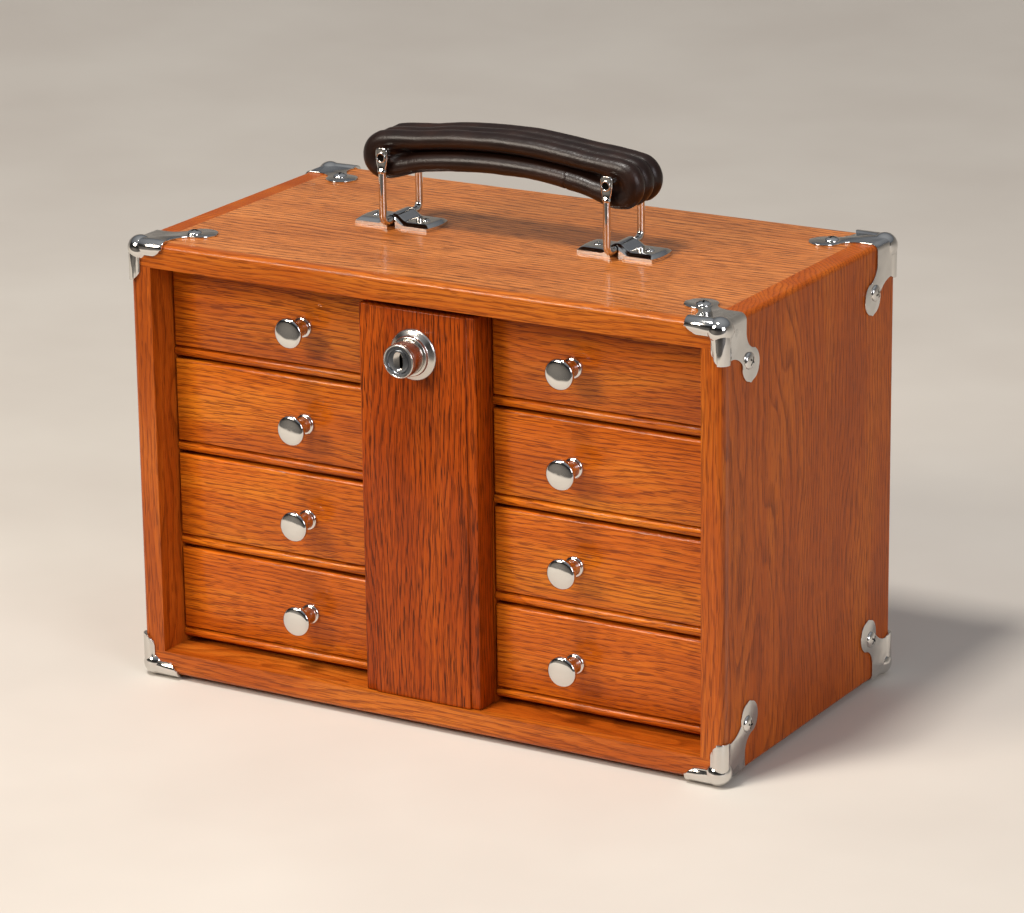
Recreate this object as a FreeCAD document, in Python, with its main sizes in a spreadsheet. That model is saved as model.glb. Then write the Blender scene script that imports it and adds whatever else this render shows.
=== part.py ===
"""Machinist tool chest: an oak case with eight drawers in two columns, a centre locking bar
with a cylinder lock, nickel corner brackets and a leather grip on two wire bails.

Millimetres. +X to the right of the front, +Y to the back, +Z up. The origin lies under the
middle of the whole chest, at the height of the four screw heads that it stands on.
"""
import FreeCAD, Part
import math
import os

import Sketcher
from FreeCAD import Placement, Rotation, Vector

doc = FreeCAD.newDocument("machinist_tool_chest")

# Driving sizes, each written once. The text beside a size says what it is.
SIZES = (
    ("case_width", 370.0, "outside width of the wooden case"),
    ("case_depth", 203.0, "outside depth of the wooden case"),
    ("case_height", 252.0, "outside height of the wooden case"),
    ("side_board", 13.2, "thickness of the two sides"),
    ("top_board", 14.0, "thickness of the top"),
    ("bottom_board", 13.0, "thickness of the bottom"),
    ("back_board", 6.0, "thickness of the back"),
    ("lipping_depth", 6.0, "depth of the solid strips round the front opening"),
    ("edge_round", 3.0, "radius of the case's outer edges"),
    ("recess", 19.8, "drawer faces behind the front of the case"),
    ("partition_board", 8.0, "thickness of the two inner partitions"),
    ("post_depth", 12.0, "front to back size of the centre post"),
    ("bar_width", 72.8, "width of the locking bar"),
    ("bar_offset", -2.0, "middle of the locking bar, right of the case's middle"),
    ("bar_setback", 2.0, "raised face of the bar behind the front of the case"),
    ("bar_thickness", 17.4, "thickness of the bar at its raised face"),
    ("bar_flange_left", 7.0, "width of the bar's lower left margin"),
    ("bar_flange_right", 5.4, "width of the bar's lower right margin"),
    ("bar_step", 1.6, "raised face of the bar above its margins"),
    ("bar_gap", 0.3, "air under the bar"),
    ("bar_top_gap", 3.4, "air above the bar, in which it is lifted off its pins"),
    ("bar_clearance", 0.5, "air between the bar and a drawer that slides past it"),
    ("bar_pin_radius", 3.0, "locating pins in the back of the bar"),
    ("bar_pin_length", 8.0, "reach of a locating pin behind the bar"),
    ("bar_pin_inset", 45.0, "locating pins from the bottom of the bar and from the lock"),
    ("pin_clearance", 0.15, "air round a locating pin in the post, and round the lock in the bar"),
    ("lock_offset", -3.0, "lock axis right of the case's middle"),
    ("lock_drop", 27.5, "lock axis below the inner ceiling of the case"),
    ("lock_projection", 16.0, "lock barrel in front of the bar's raised face"),
    ("lock_radius", 9.5, "radius of the lock barrel"),
    ("lock_tail", 9.0, "lock barrel behind the bar"),
    ("lock_edge", 0.9, "bevel of the barrel's nose and edge of the bezel"),
    ("collar_reach", 1.1, "ring on the barrel, out from its side"),
    ("collar_length", 1.2, "length of the ring in front of the bezel"),
    ("bezel_radius", 14.4, "radius of the lock's bezel"),
    ("bezel_rise", 3.4, "height of the bezel's cone"),
    ("plug_radius", 6.4, "radius of the turning plug"),
    ("plug_clearance", 0.08, "air round the plug"),
    ("plug_setback", 0.3, "ends of the plug inside the ends of the barrel"),
    ("plug_tail_radius", 4.2, "radius of the plug's tail, which carries the cam"),
    ("plug_tail_end", 1.0, "tail of the plug behind the cam"),
    ("keyhole_width", 2.4, "width of the key slot"),
    ("keyhole_height", 8.4, "height of the key slot"),
    ("keyhole_depth", 6.0, "depth of the key slot"),
    ("nut_radius", 12.2, "corner radius of the lock's nut"),
    ("nut_thickness", 3.6, "thickness of the lock's nut"),
    ("cam_reach", 27.0, "tip of the cam from the lock axis"),
    ("cam_width", 13.0, "width of the cam"),
    ("cam_thickness", 2.4, "thickness of the cam"),
    ("cam_clearance", 1.4, "air between the cam and the post"),
    ("window_width", 28.0, "width of the post's window round the lock"),
    ("window_room", 3.0, "window below the tip of the cam"),
    ("rows", 4.0, "drawers in a column"),
    ("drawer_gap", 1.7, "air between two drawer fronts"),
    ("drawer_top_gap", 1.4, "air above the upper drawers"),
    ("drawer_bottom_gap", 3.3, "air below the lowest drawers"),
    ("drawer_side_gap", 0.5, "air beside a drawer front"),
    ("front_board", 12.0, "thickness of a drawer front"),
    ("front_round", 1.8, "roundover of a drawer front's field"),
    ("bead_radius", 2.7, "radius of the bead along the bottom of a drawer front"),
    ("quirk", 1.1, "groove between the bead and the field"),
    ("drawer_back_gap", 7.2, "air behind a closed drawer"),
    ("drawer_board", 8.0, "thickness of a drawer's sides and back"),
    ("drawer_floor", 4.0, "thickness of a drawer's bottom"),
    ("drawer_box_drop", 6.0, "drawer box below the top of its front"),
    ("drawer_box_rise", 3.0, "drawer box above the bottom of its front"),
    ("drawer_box_inset", 0.6, "drawer box inside the ends of its front"),
    ("lining", 1.5, "thickness of the felt in a drawer"),
    ("runner_height", 5.6, "height of a drawer runner"),
    ("runner_reach", 4.4, "runner out from its wall"),
    ("runner_clearance", 0.2, "air above, below and beside a runner in its groove"),
    ("runner_level", 22.0, "middle of a runner above the bottom of its drawer"),
    ("runner_setback", 2.0, "runner behind the closed drawer's front"),
    ("knob_spread", 85.0, "knob axis from the case's middle"),
    ("knob_drop", 26.0, "knob axis below the top of its drawer front"),
    ("knob_radius", 8.3, "radius of a knob's face"),
    ("knob_height", 17.0, "knob in front of its drawer"),
    ("knob_rim", 3.4, "thickness of a knob's disc"),
    ("knob_edge", 1.0, "bevel round a knob's face"),
    ("knob_taper", 2.0, "length of the taper from a knob's disc to its neck"),
    ("knob_neck", 3.3, "radius of a knob's neck"),
    ("knob_base", 5.3, "radius of a knob's foot"),
    ("bracket_sheet", 1.0, "thickness of the corner brackets"),
    ("bracket_bead", 1.0, "rolled front edges of a bracket above its sheet"),
    ("bracket_bead_radius", 5.0, "radius of a bracket's rolled front edges"),
    ("bracket_ball_radius", 6.4, "radius of a bracket's ball corner"),
    ("bracket_lip", 22.3, "length of a bracket's lips along the case's edges"),
    ("bracket_lip_width", 7.0, "width of the lips on the front and back"),
    ("lip_shoulder", 15.6, "full width of a lip, along it from the case's edge"),
    ("lip_tip", 0.6, "straight end of a lip beside the case's edge"),
    ("lip_bow", 1.3, "outward bow of a lip's end"),
    ("lip_round", 2.4, "inner corner between the two lips"),
    ("lip_step", 1.6, "cut corner of a leaf's end beside the lip"),
    ("bracket_cover", 23.8, "bracket along the edge between its two leaves"),
    ("leaf_across", 28.3, "middle of a leaf's pad from the edge between the leaves"),
    ("leaf_along", 29.2, "middle of a leaf's pad from the front or back of the case"),
    ("leaf_radius", 9.4, "radius of a leaf's pad"),
    ("leaf_tip", 38.0, "tip of a leaf from the edge between the leaves"),
    ("leaf_point", 1.6, "half width of a leaf's point"),
    ("leaf_point_back", 0.6, "shoulders of a leaf's point behind its tip"),
    ("leaf_root", 9.0, "end of a leaf along the edge between the leaves"),
    ("leaf_waist", 1.5, "hollow between the lip and a leaf's pad"),
    ("leaf_neck", 2.9, "hollow between a leaf's pad and its end along the edge"),
    ("screw_across", 25.6, "leaf screw from the edge between the leaves"),
    ("screw_along", 26.6, "leaf screw from the front or back of the case"),
    ("screw_radius", 4.4, "radius of a leaf screw's head"),
    ("screw_rise", 2.0, "height of a leaf screw's head"),
    ("bail_spread", 71.0, "bails from the case's middle"),
    ("bail_legs", 19.1, "bail legs in front of and behind the handle's middle"),
    ("bail_height", 37.6, "eyelet axis above the bail's lower axis"),
    ("bail_lift", 4.6, "bail's lower axis above the top of the case"),
    ("wire_radius", 2.0, "radius of the bail wire"),
    ("wire_bend", 4.6, "bend radius of the bail wire"),
    ("eyelet_radius", 3.2, "radius of an eyelet"),
    ("eyelet_thickness", 2.2, "thickness of a flattened eyelet"),
    ("eyelet_neck", 7.7, "flattened end of a bail leg below the eyelet's axis"),
    ("rivet_radius", 1.5, "radius of the grip's rivets"),
    ("rivet_clearance", 0.1, "air round a rivet in an eyelet that carries the grip"),
    ("rivet_end", 0.8, "end of a rivet outside its eyelet"),
    ("plate_length", 46.0, "length of a handle plate"),
    ("plate_width", 19.6, "width of a handle plate"),
    ("plate_height", 2.6, "height of a handle plate"),
    ("plate_bevel", 1.4, "bevel round the top of a handle plate"),
    ("knuckle_wall", 1.3, "wall of the knuckle over the bail wire"),
    ("knuckle_clearance", 0.15, "air round the bail wire in its knuckle"),
    ("knuckle_ramp", 9.5, "foot of the knuckle's ramp from the wire's axis"),
    ("plate_screw_radius", 2.9, "radius of a plate screw's head"),
    ("plate_screw_rise", 1.1, "height of a plate screw's head"),
    ("plate_screw_spread", 16.0, "plate screws from the bail wire's axis"),
    ("grip_length", 177.6, "length of the grip"),
    ("grip_width", 31.6, "width of the grip"),
    ("grip_end_radius", 14.1, "radius of the grip's round ends"),
    ("grip_arch", 11.0, "rise of the grip's underside in the middle"),
    ("grip_crown", 6.5, "rise of the grip's top in the middle"),
    ("grip_bevel", 5.0, "bevel along the grip's long edges"),
    ("grip_drop", 1.2, "middle of the grip's round ends below the eyelets"),
)

sheet = doc.addObject("Spreadsheet::Sheet", "sizes")
for row, (alias, number, meaning) in enumerate(SIZES, start=1):
    sheet.set("A%d" % row, str(number))
    sheet.setAlias("A%d" % row, alias)
    sheet.set("B%d" % row, meaning)
doc.recompute()


class Size:
    """A length worked out from the sheet: its value now and the expression that keeps it."""

    def __init__(self, value, text):
        self.value = value
        self.text = text

    def joined(self, sign, other, value):
        right = other.text if isinstance(other, Size) else repr(float(other))
        return Size(value, "(%s %s %s)" % (self.text, sign, right))

    def __add__(self, other):
        return self.joined("+", other, self.value + number(other))

    def __sub__(self, other):
        return self.joined("-", other, self.value - number(other))

    def __mul__(self, other):
        return self.joined("*", other, self.value * number(other))

    def __truediv__(self, other):
        return self.joined("/", other, self.value / number(other))

    def __neg__(self):
        return Size(-self.value, "(0 - %s)" % self.text)

    def __radd__(self, other):
        return constant(other) + self

    def __rmul__(self, other):
        return self * other


def number(value):
    """Plain number of a size or of a number."""
    return value.value if isinstance(value, Size) else float(value)


def constant(value):
    """A plain number as a size."""
    return Size(float(value), repr(float(value)))


def sized(value):
    """A size as it is, and a plain number as a size."""
    return value if isinstance(value, Size) else constant(value)


def size(alias):
    """The size in the sheet with this alias."""
    return Size(float(sheet.get(alias)), "sizes." + alias)


# Reach of a cutting solid past the face that it leaves.
past = 1.0

# Levels and faces of the case, all worked out from the sheet.
zero = constant(0.0)
bar_front = size("bar_setback") - size("lock_projection")
bracket_out = size("bracket_sheet") + size("bracket_bead")
front_y = -(size("case_depth") + bracket_out + bar_front) / 2.0
back_y = front_y + size("case_depth")
half_width = size("case_width") / 2.0
base_z = size("screw_rise") + size("bracket_sheet")
floor_z = base_z + size("bottom_board")
crown_z = base_z + size("case_height")
ceiling_z = crown_z - size("top_board")
inner_x = half_width - size("side_board")
face_y = front_y + size("recess")
bar_left = size("bar_offset") - size("bar_width") / 2.0
bar_right = size("bar_offset") + size("bar_width") / 2.0
bar_face_y = front_y + size("bar_setback")
bar_back_y = bar_face_y + size("bar_thickness")
lipping_y = front_y + size("lipping_depth")
inner_back_y = back_y - size("back_board")
lock_z = ceiling_z - size("lock_drop")
opening_height = ceiling_z - floor_z
bar_height = opening_height - size("bar_gap") - size("bar_top_gap")
drawer_gaps = size("drawer_top_gap") + size("drawer_bottom_gap") - size("drawer_gap")
drawer_pitch = (opening_height - drawer_gaps) / size("rows")
drawer_height = drawer_pitch - size("drawer_gap")
drawer_back_y = inner_back_y - size("drawer_back_gap")
post_back_y = face_y + size("post_depth")
handle_y = (front_y + back_y) / 2.0
bail_z = crown_z + size("bail_lift")
eyelet_z = bail_z + size("bail_height")


def bind(item, **values):
    """Bind properties of an object to sizes; a double underscore stands for a full stop."""
    for name, value in values.items():
        item.setExpression(name.replace("__", "."), sized(value).text)
    return item


def put(item, x=0.0, y=0.0, z=0.0):
    """Bind the place of an object."""
    for axis, value in (("x", x), ("y", y), ("z", z)):
        item.setExpression("Placement.Base." + axis, sized(value).text)
    return item


def label(item, name):
    """Name an object, here and in its file."""
    item.Label = name
    return item


def block(name, x, y, z):
    """A rectangular solid between two values on each axis."""
    item = doc.addObject("Part::Box", name)
    bind(item, Length=x[1] - x[0], Width=y[1] - y[0], Height=z[1] - z[0])
    return put(item, x[0], y[0], z[0])


def rod(name, radius, length, x, y, z, axis=Vector(0, 0, 1)):
    """A cylinder that starts at a point and runs along an axis."""
    item = doc.addObject("Part::Cylinder", name)
    bind(item, Radius=radius, Height=length)
    item.Placement = Placement(Vector(), Rotation(Vector(0, 0, 1), axis))
    return put(item, x, y, z)


def cut(name, base, *tools):
    """A solid less its tools."""
    for order, tool in enumerate(tools):
        item = doc.addObject("Part::Cut", "%s_cut_%d" % (name, order))
        item.Base = base
        item.Tool = tool
        base = item
    return label(base, name)


def fuse(name, *items):
    """Solids joined into one."""
    item = doc.addObject("Part::MultiFuse", name)
    item.Shapes = list(items)
    item.Refine = True
    return item


def common(name, base, tool):
    """What two solids share."""
    item = doc.addObject("Part::Common", name)
    item.Base = base
    item.Tool = tool
    return item


def group(name, *items):
    """Separate solids that make up one named piece of the chest."""
    item = doc.addObject("Part::Compound", name)
    item.Links = list(items)
    return item


def origin_plane(body, role):
    """One of a body's own origin planes or axes."""
    return next(item for item in body.Origin.OriginFeatures if item.Role == role)


def sketched(body, name, plane, corners):
    """A closed outline on one of the body's planes.

    Each corner is its two coordinates and, where the side that starts there is an arc, the
    arc's radius: above zero for an arc that turns left, below zero for one that turns right.
    """
    sketch = body.newObject("Sketcher::SketchObject", name)
    sketch.AttachmentSupport = [(origin_plane(body, plane), "")]
    sketch.MapMode = "FlatFace"
    count = len(corners)
    points = [Vector(number(corner[0]), number(corner[1]), 0) for corner in corners]
    for order in range(count):
        start = points[order]
        end = points[(order + 1) % count]
        if len(corners[order]) == 2:
            sketch.addGeometry(Part.LineSegment(start, end))
            continue
        radius = number(corners[order][2])
        chord = end - start
        left = Vector(-chord.y, chord.x, 0).normalize()
        rise = math.sqrt(max(radius * radius - chord.Length ** 2 / 4.0, 0.0))
        middle = (start + end) * 0.5 + left * math.copysign(rise, radius)
        first, last = (start, end) if radius > 0 else (end, start)
        circle = Part.Circle(middle, Vector(0, 0, 1), abs(radius))
        angles = [math.atan2(point.y - middle.y, point.x - middle.x) for point in (first, last)]
        sketch.addGeometry(Part.ArcOfCircle(circle, angles[0], angles[1]))
    for order in range(count):
        before = (order - 1) % count
        start_end = 2 if len(corners[order]) == 3 and number(corners[order][2]) < 0 else 1
        last_end = 1 if len(corners[before]) == 3 and number(corners[before][2]) < 0 else 2
        sketch.addConstraint(Sketcher.Constraint("Coincident", before, last_end, order, start_end))
        for kind, value in (("DistanceX", corners[order][0]), ("DistanceY", corners[order][1])):
            place = sketch.addConstraint(
                Sketcher.Constraint(kind, -1, 1, order, start_end, number(value)))
            sketch.setExpression("Constraints[%d]" % place, sized(value).text)
        if len(corners[order]) == 3:
            arc = sized(corners[order][2])
            arc = arc if arc.value > 0 else -arc
            place = sketch.addConstraint(Sketcher.Constraint("Radius", order, arc.value))
            sketch.setExpression("Constraints[%d]" % place, arc.text)
    return sketch


def padded(name, plane, corners, length, midplane=False):
    """A body made by padding one outline."""
    body = doc.addObject("PartDesign::Body", name)
    sketch = sketched(body, name + "_outline", plane, corners)
    pad = body.newObject("PartDesign::Pad", name + "_pad")
    pad.Profile = sketch
    pad.Midplane = midplane
    bind(pad, Length=length)
    sketch.Visibility = False
    return body


def revolved(name, plane, axis, corners):
    """A body made by turning one outline round an axis of its sketch."""
    body = doc.addObject("PartDesign::Body", name)
    sketch = sketched(body, name + "_outline", plane, corners)
    turn = body.newObject("PartDesign::Revolution", name + "_turn")
    turn.Profile = sketch
    turn.ReferenceAxis = (sketch, [axis])
    turn.Angle = 360.0
    sketch.Visibility = False
    return body


def dressed(body, kind, name, amount, wanted):
    """Fillet or chamfer the edges of a body's last feature whose middle the test accepts."""
    doc.recompute()
    base = body.Tip
    names = ["Edge%d" % order for order, edge in enumerate(base.Shape.Edges, start=1)
             if wanted(edge.CenterOfMass, edge)]
    item = body.newObject("PartDesign::" + kind, name)
    item.Base = (base, names)
    item.setExpression({"Fillet": "Radius", "Chamfer": "Size"}[kind], sized(amount).text)
    return item


def near(value, target):
    """True where two lengths agree to a hundredth."""
    return abs(value - number(target)) < 0.01


# The case: the rounded outside of the whole case trims each board that reaches it.
def case_envelope():
    """Solid with the case's outside size and rounded edges."""
    whole = block("case_block", (-half_width, half_width), (front_y, back_y), (base_z, crown_z))
    item = doc.addObject("Part::Fillet", "case_envelope")
    item.Base = whole
    radius = size("edge_round").value
    item.Edges = [(edge, radius, radius) for edge in range(1, 13)]
    return item


envelope = case_envelope()


def board(name, x, y, z):
    """A board of the case, trimmed by the rounded outside."""
    return common(name, block(name + "_blank", x, y, z), envelope)


def case_boards():
    """Sides, top, bottom, back and the solid strips round the front opening."""
    full_x = (-half_width, half_width)
    inner = (-inner_x, inner_x)
    board("case_side_left", (-half_width, -inner_x), (lipping_y, back_y), (base_z, crown_z))
    board("case_side_right", (inner_x, half_width), (lipping_y, back_y), (base_z, crown_z))
    board("case_top", inner, (lipping_y, back_y), (ceiling_z, crown_z))
    board("case_bottom", inner, (lipping_y, back_y), (base_z, floor_z))
    board("case_back", inner, (inner_back_y, back_y), (floor_z, ceiling_z))
    front = (front_y, lipping_y)
    group("front_rails",
          board("front_rail_top", full_x, front, (ceiling_z, crown_z)),
          board("front_rail_bottom", full_x, front, (base_z, floor_z)))
    group("front_stiles",
          board("front_stile_left", (-half_width, -inner_x), front, (floor_z, ceiling_z)),
          board("front_stile_right", (inner_x, half_width), front, (floor_z, ceiling_z)))


def centre_column():
    """Two partitions and the post behind the locking bar, with its window and pin bores."""
    deep = (face_y, inner_back_y)
    high = (floor_z, ceiling_z)
    wall = size("partition_board")
    group("case_partitions",
          block("partition_left", (bar_left, bar_left + wall), deep, high),
          block("partition_right", (bar_right - wall, bar_right), deep, high))
    blank = block("post_blank", (bar_left + wall, bar_right - wall), (face_y, post_back_y), high)
    half = size("window_width") / 2.0
    lock_x = size("lock_offset")
    window = block("post_window", (lock_x - half, lock_x + half),
                   (face_y - past, post_back_y + past),
                   (lock_z - size("cam_reach") - size("window_room"), lock_z + half))
    bores = [rod("post_bore_%d" % order, size("bar_pin_radius") + size("pin_clearance"),
                 size("bar_pin_length") + past, size("bar_offset"), face_y - past, level,
                 Vector(0, 1, 0))
             for order, level in enumerate(pin_levels())]
    cut("centre_post", blank, window, *bores)


def pin_levels():
    """Heights of the bar's two locating pins."""
    inset = size("bar_pin_inset")
    return floor_z + inset, lock_z - size("cam_reach") - inset


def locking_bar():
    """Bar with a raised face between two margins, its lock bore and its locating pins."""
    left = -size("bar_width") / 2.0
    right = size("bar_width") / 2.0
    step = size("bar_step")
    thick = size("bar_thickness")
    raised_left = left + size("bar_flange_left")
    raised_right = right - size("bar_flange_right")
    corners = ((left, step), (left, thick), (right, thick), (right, step),
               (raised_right, step), (raised_right, zero), (raised_left, zero),
               (raised_left, step))
    body = padded("locking_bar_blank", "XY_Plane", corners, bar_height)
    put(body, size("bar_offset"), bar_face_y, floor_z + size("bar_gap"))
    bore = rod("bar_bore", size("lock_radius") + size("pin_clearance"), thick + past * 2.0,
               size("lock_offset"), bar_face_y - past, lock_z, Vector(0, 1, 0))
    depth = size("bar_pin_length")
    sockets = [rod("bar_socket_%d" % order, size("bar_pin_radius"), depth + past,
                   size("bar_offset"), bar_back_y - depth, level, Vector(0, 1, 0))
               for order, level in enumerate(pin_levels())]
    cut("locking_bar", body, bore, *sockets)
    pins = [rod("bar_pin_%d" % order, size("bar_pin_radius"), depth * 2.0,
                size("bar_offset"), bar_back_y - depth, level, Vector(0, 1, 0))
            for order, level in enumerate(pin_levels())]
    group("bar_pins", *pins)


def cylinder_lock():
    """Bezel and barrel, nut, plug with its key slot, and the cam behind the post."""
    lock_x = size("lock_offset")
    barrel = size("lock_radius")
    rear = size("bar_thickness") + size("lock_tail")
    nose = -size("lock_projection")
    edge = size("lock_edge")
    collar = barrel + size("collar_reach")
    cone = -size("bezel_rise")
    ring = cone - size("collar_length")
    bore = size("plug_radius") + size("plug_clearance")
    corners = ((bore, nose), (barrel - edge, nose), (barrel, nose + edge), (barrel, ring),
               (collar, ring), (collar, cone), (size("bezel_radius"), -edge),
               (size("bezel_radius"), zero), (barrel, zero), (barrel, rear), (bore, rear))
    body = revolved("lock_barrel", "XY_Plane", "V_Axis", corners)
    put(body, lock_x, bar_face_y, lock_z)

    nut = doc.addObject("Part::Prism", "lock_nut_blank")
    nut.Polygon = 6
    bind(nut, Circumradius=size("nut_radius"), Height=size("nut_thickness"))
    nut.Placement = Placement(Vector(), Rotation(Vector(1, 0, 0), -90))
    put(nut, lock_x, bar_back_y, lock_z)
    thread = rod("lock_nut_bore", barrel, size("nut_thickness") + past * 2.0,
                 lock_x, bar_back_y - past, lock_z, Vector(0, 1, 0))
    cut("lock_nut", nut, thread)

    cam_y = post_back_y + size("cam_clearance")
    tail = size("plug_tail_radius")
    plug_front = bar_face_y + nose + size("plug_setback")
    plug_rear = bar_face_y + rear - size("plug_setback")
    tail_end = cam_y + size("cam_thickness") + size("plug_tail_end")
    plug = rod("plug_blank", size("plug_radius"), plug_rear - plug_front,
               lock_x, plug_front, lock_z, Vector(0, 1, 0))
    stem = rod("plug_stem", tail, tail_end - plug_rear, lock_x, plug_rear, lock_z,
               Vector(0, 1, 0))
    half = size("keyhole_width") / 2.0
    reach = size("keyhole_height") / 2.0
    slot = block("plug_slot", (lock_x - half, lock_x + half),
                 (bar_face_y + nose - past, bar_face_y + nose + size("keyhole_depth")),
                 (lock_z - reach, lock_z + reach))
    cut("lock_plug", fuse("plug_solid", plug, stem), slot)

    side = size("cam_width") / 2.0
    arm = block("cam_arm", (lock_x - side, lock_x + side),
                (cam_y, cam_y + size("cam_thickness")),
                (lock_z - size("cam_reach") + side, lock_z))
    eye = rod("cam_eye", side, size("cam_thickness"), lock_x, cam_y, lock_z, Vector(0, 1, 0))
    tip = rod("cam_tip", side, size("cam_thickness"), lock_x, cam_y,
              lock_z - size("cam_reach") + side, Vector(0, 1, 0))
    seat = rod("cam_seat", tail, size("cam_thickness") + past * 2.0,
               lock_x, cam_y - past, lock_z, Vector(0, 1, 0))
    cut("lock_cam", fuse("cam_solid", arm, eye, tip), seat)


# The drawers: each column's name, its two limits and the sign of its side.
COLUMNS = (
    ("left", -inner_x + size("drawer_side_gap"), bar_left - size("bar_clearance"), -1.0),
    ("right", bar_right + size("bar_clearance"), inner_x - size("drawer_side_gap"), 1.0),
)


def drawer_level(row):
    """Bottom of a drawer front, counted down from the upper row."""
    return ceiling_z - size("drawer_top_gap") - drawer_height - drawer_pitch * row


def drawer_front(name, x, level):
    """Front with a rounded field, and a bead along its bottom under a narrow groove."""
    tall = drawer_height
    thick = size("front_board")
    bead = size("bead_radius")
    shoulder = bead * 2.0 + size("quirk")
    width = x[1] - x[0]
    corners = ((zero, tall), (zero, shoulder), (bead, shoulder), (bead, bead * 2.0, bead),
               (zero, bead, bead), (bead, zero), (thick, zero), (thick, tall))
    body = padded(name, "YZ_Plane", corners, width, True)

    def field_edge(middle, edge):
        upright = near(abs(middle.x), width / 2.0) and middle.z > number(shoulder)
        upper = near(middle.z, tall) and near(middle.x, 0.0)
        return near(middle.y, 0.0) and (upright or upper)

    dressed(body, "Fillet", name + "_round", size("front_round"), field_edge)
    put(body, (x[0] + x[1]) / 2.0, face_y, level)


def drawer_box(name, x, level):
    """Two grooved sides, a back and a bottom, as separate boards."""
    wall = size("drawer_board")
    inset = size("drawer_box_inset")
    outer = (x[0] + inset, x[1] - inset)
    inner = (outer[0] + wall, outer[1] - wall)
    deep = (face_y + size("front_board"), drawer_back_y)
    low = level + size("drawer_box_rise")
    high = level + drawer_height - size("drawer_box_drop")
    above_floor = low + size("drawer_floor")
    groove_half = size("runner_height") / 2.0 + size("runner_clearance")
    middle = level + size("runner_level")
    reach = size("runner_reach") + size("runner_clearance") - size("drawer_side_gap") - inset
    boards = []
    for side, start, end, mouth, sign in (("left", outer[0], inner[0], outer[0], 1.0),
                                          ("right", inner[1], outer[1], outer[1], -1.0)):
        plank = block("%s_%s_blank" % (name, side), (start, end), deep, (low, high))
        slot = (mouth - past, mouth + reach) if sign > 0 else (mouth - reach, mouth + past)
        groove = block("%s_%s_groove" % (name, side), slot, (deep[0] - past, deep[1] + past),
                       (middle - groove_half, middle + groove_half))
        boards.append(cut("%s_%s_side" % (name, side), plank, groove))
    boards.append(block(name + "_floor", inner, deep, (low, above_floor)))
    boards.append(block(name + "_rear", inner, (deep[1] - wall, deep[1]), (above_floor, high)))
    group(name + "_box", *boards)
    block(name + "_lining", inner, (deep[0], deep[1] - wall),
          (above_floor, above_floor + size("lining")))


def knob(name, x, z):
    """Turned knob on the drawer face."""
    tall = size("knob_height")
    rim = size("knob_rim")
    radius = size("knob_radius")
    neck = size("knob_neck")
    base = size("knob_base")
    edge = size("knob_edge")
    back = rim - tall
    corners = ((zero, zero), (zero, -tall), (radius - edge, -tall), (radius, -tall + edge),
               (radius, back), (neck, back + size("knob_taper")), (base, zero))
    body = revolved(name, "XY_Plane", "V_Axis", corners)
    put(body, x, face_y, z)


def runner(name, wall_x, sign, level):
    """Strip on a wall of the case, which a drawer's groove rides on."""
    reach = size("runner_reach")
    x = (wall_x, wall_x + reach) if sign > 0 else (wall_x - reach, wall_x)
    start = face_y + size("front_board") + size("runner_setback")
    middle = level + size("runner_level")
    half = size("runner_height") / 2.0
    return block(name, x, (start, inner_back_y), (middle - half, middle + half))


def drawers():
    """Eight drawers, and the runners on the walls beside them."""
    runners = []
    for row in range(int(number(size("rows")))):
        level = drawer_level(row)
        for column, left, right, sign in COLUMNS:
            name = "drawer_%s_%d" % (column, row + 1)
            knob_x = size("knob_spread") * sign
            knob_z = level + drawer_height - size("knob_drop")
            drawer_front(name + "_front", (left, right), level)
            drawer_box(name, (left, right), level)
            knob(name + "_knob", knob_x, knob_z)
            walls = (-inner_x, bar_left) if sign < 0 else (bar_right, inner_x)
            runners.append(runner(name + "_runner_left", walls[0], 1.0, level))
            runners.append(runner(name + "_runner_right", walls[1], -1.0, level))
    group("drawer_runners", *runners)


# The corner brackets, stamped and rolled, one shape mirrored to eight corners.
def outline(*parts):
    """Closed face from points and, between two points, the middle of an arc in brackets."""
    edges = []
    order = 0
    last = len(parts)
    while order < last:
        start = Vector(*parts[order], 0)
        if isinstance(parts[(order + 1) % last], list):
            middle = Vector(*parts[order + 1], 0)
            end = Vector(*parts[(order + 2) % last], 0)
            edges.append(Part.Arc(start, middle, end).toShape())
            order += 2
        else:
            edges.append(Part.LineSegment(start, Vector(*parts[(order + 1) % last], 0)).toShape())
            order += 1
    return Part.Face(Part.Wire(edges))


def bowed(start, end, bow):
    """Middle of an arc between two points, off the chord to the left by the bow."""
    away = Vector(start[1] - end[1], end[0] - start[0], 0).normalize() * bow
    return [(start[0] + end[0]) / 2.0 + away.x, (start[1] + end[1]) / 2.0 + away.y]


def leaf_outline(beyond):
    """Screw leaf, seen square on: across from the edge between the leaves, and along it."""
    lip = number(size("bracket_lip"))
    step = number(size("lip_step"))
    cover = number(size("bracket_cover"))
    across = number(size("leaf_across"))
    along = number(size("leaf_along"))
    radius = number(size("leaf_radius"))
    tip = number(size("leaf_tip"))
    point = number(size("leaf_point"))
    shoulder = tip - number(size("leaf_point_back"))
    width = number(size("bracket_lip_width"))

    def pad(degrees):
        turn = math.radians(degrees)
        return (across + radius * math.cos(turn), along + radius * math.sin(turn))

    lip_end = (lip - step, width)
    root = (number(size("leaf_root")), cover)
    near_pad = pad(-100)
    far_pad = pad(155)
    return outline(
        (-beyond, -beyond), (lip, -beyond), (lip, width - step * 2.0), lip_end,
        bowed(lip_end, near_pad, number(size("leaf_waist"))), near_pad, list(pad(-65)),
        pad(-30), (shoulder, along - point), [tip, along], (shoulder, along + point), pad(30),
        list(pad(95)), far_pad, bowed(far_pad, root, number(size("leaf_neck"))), root,
        (-beyond, cover))


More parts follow.
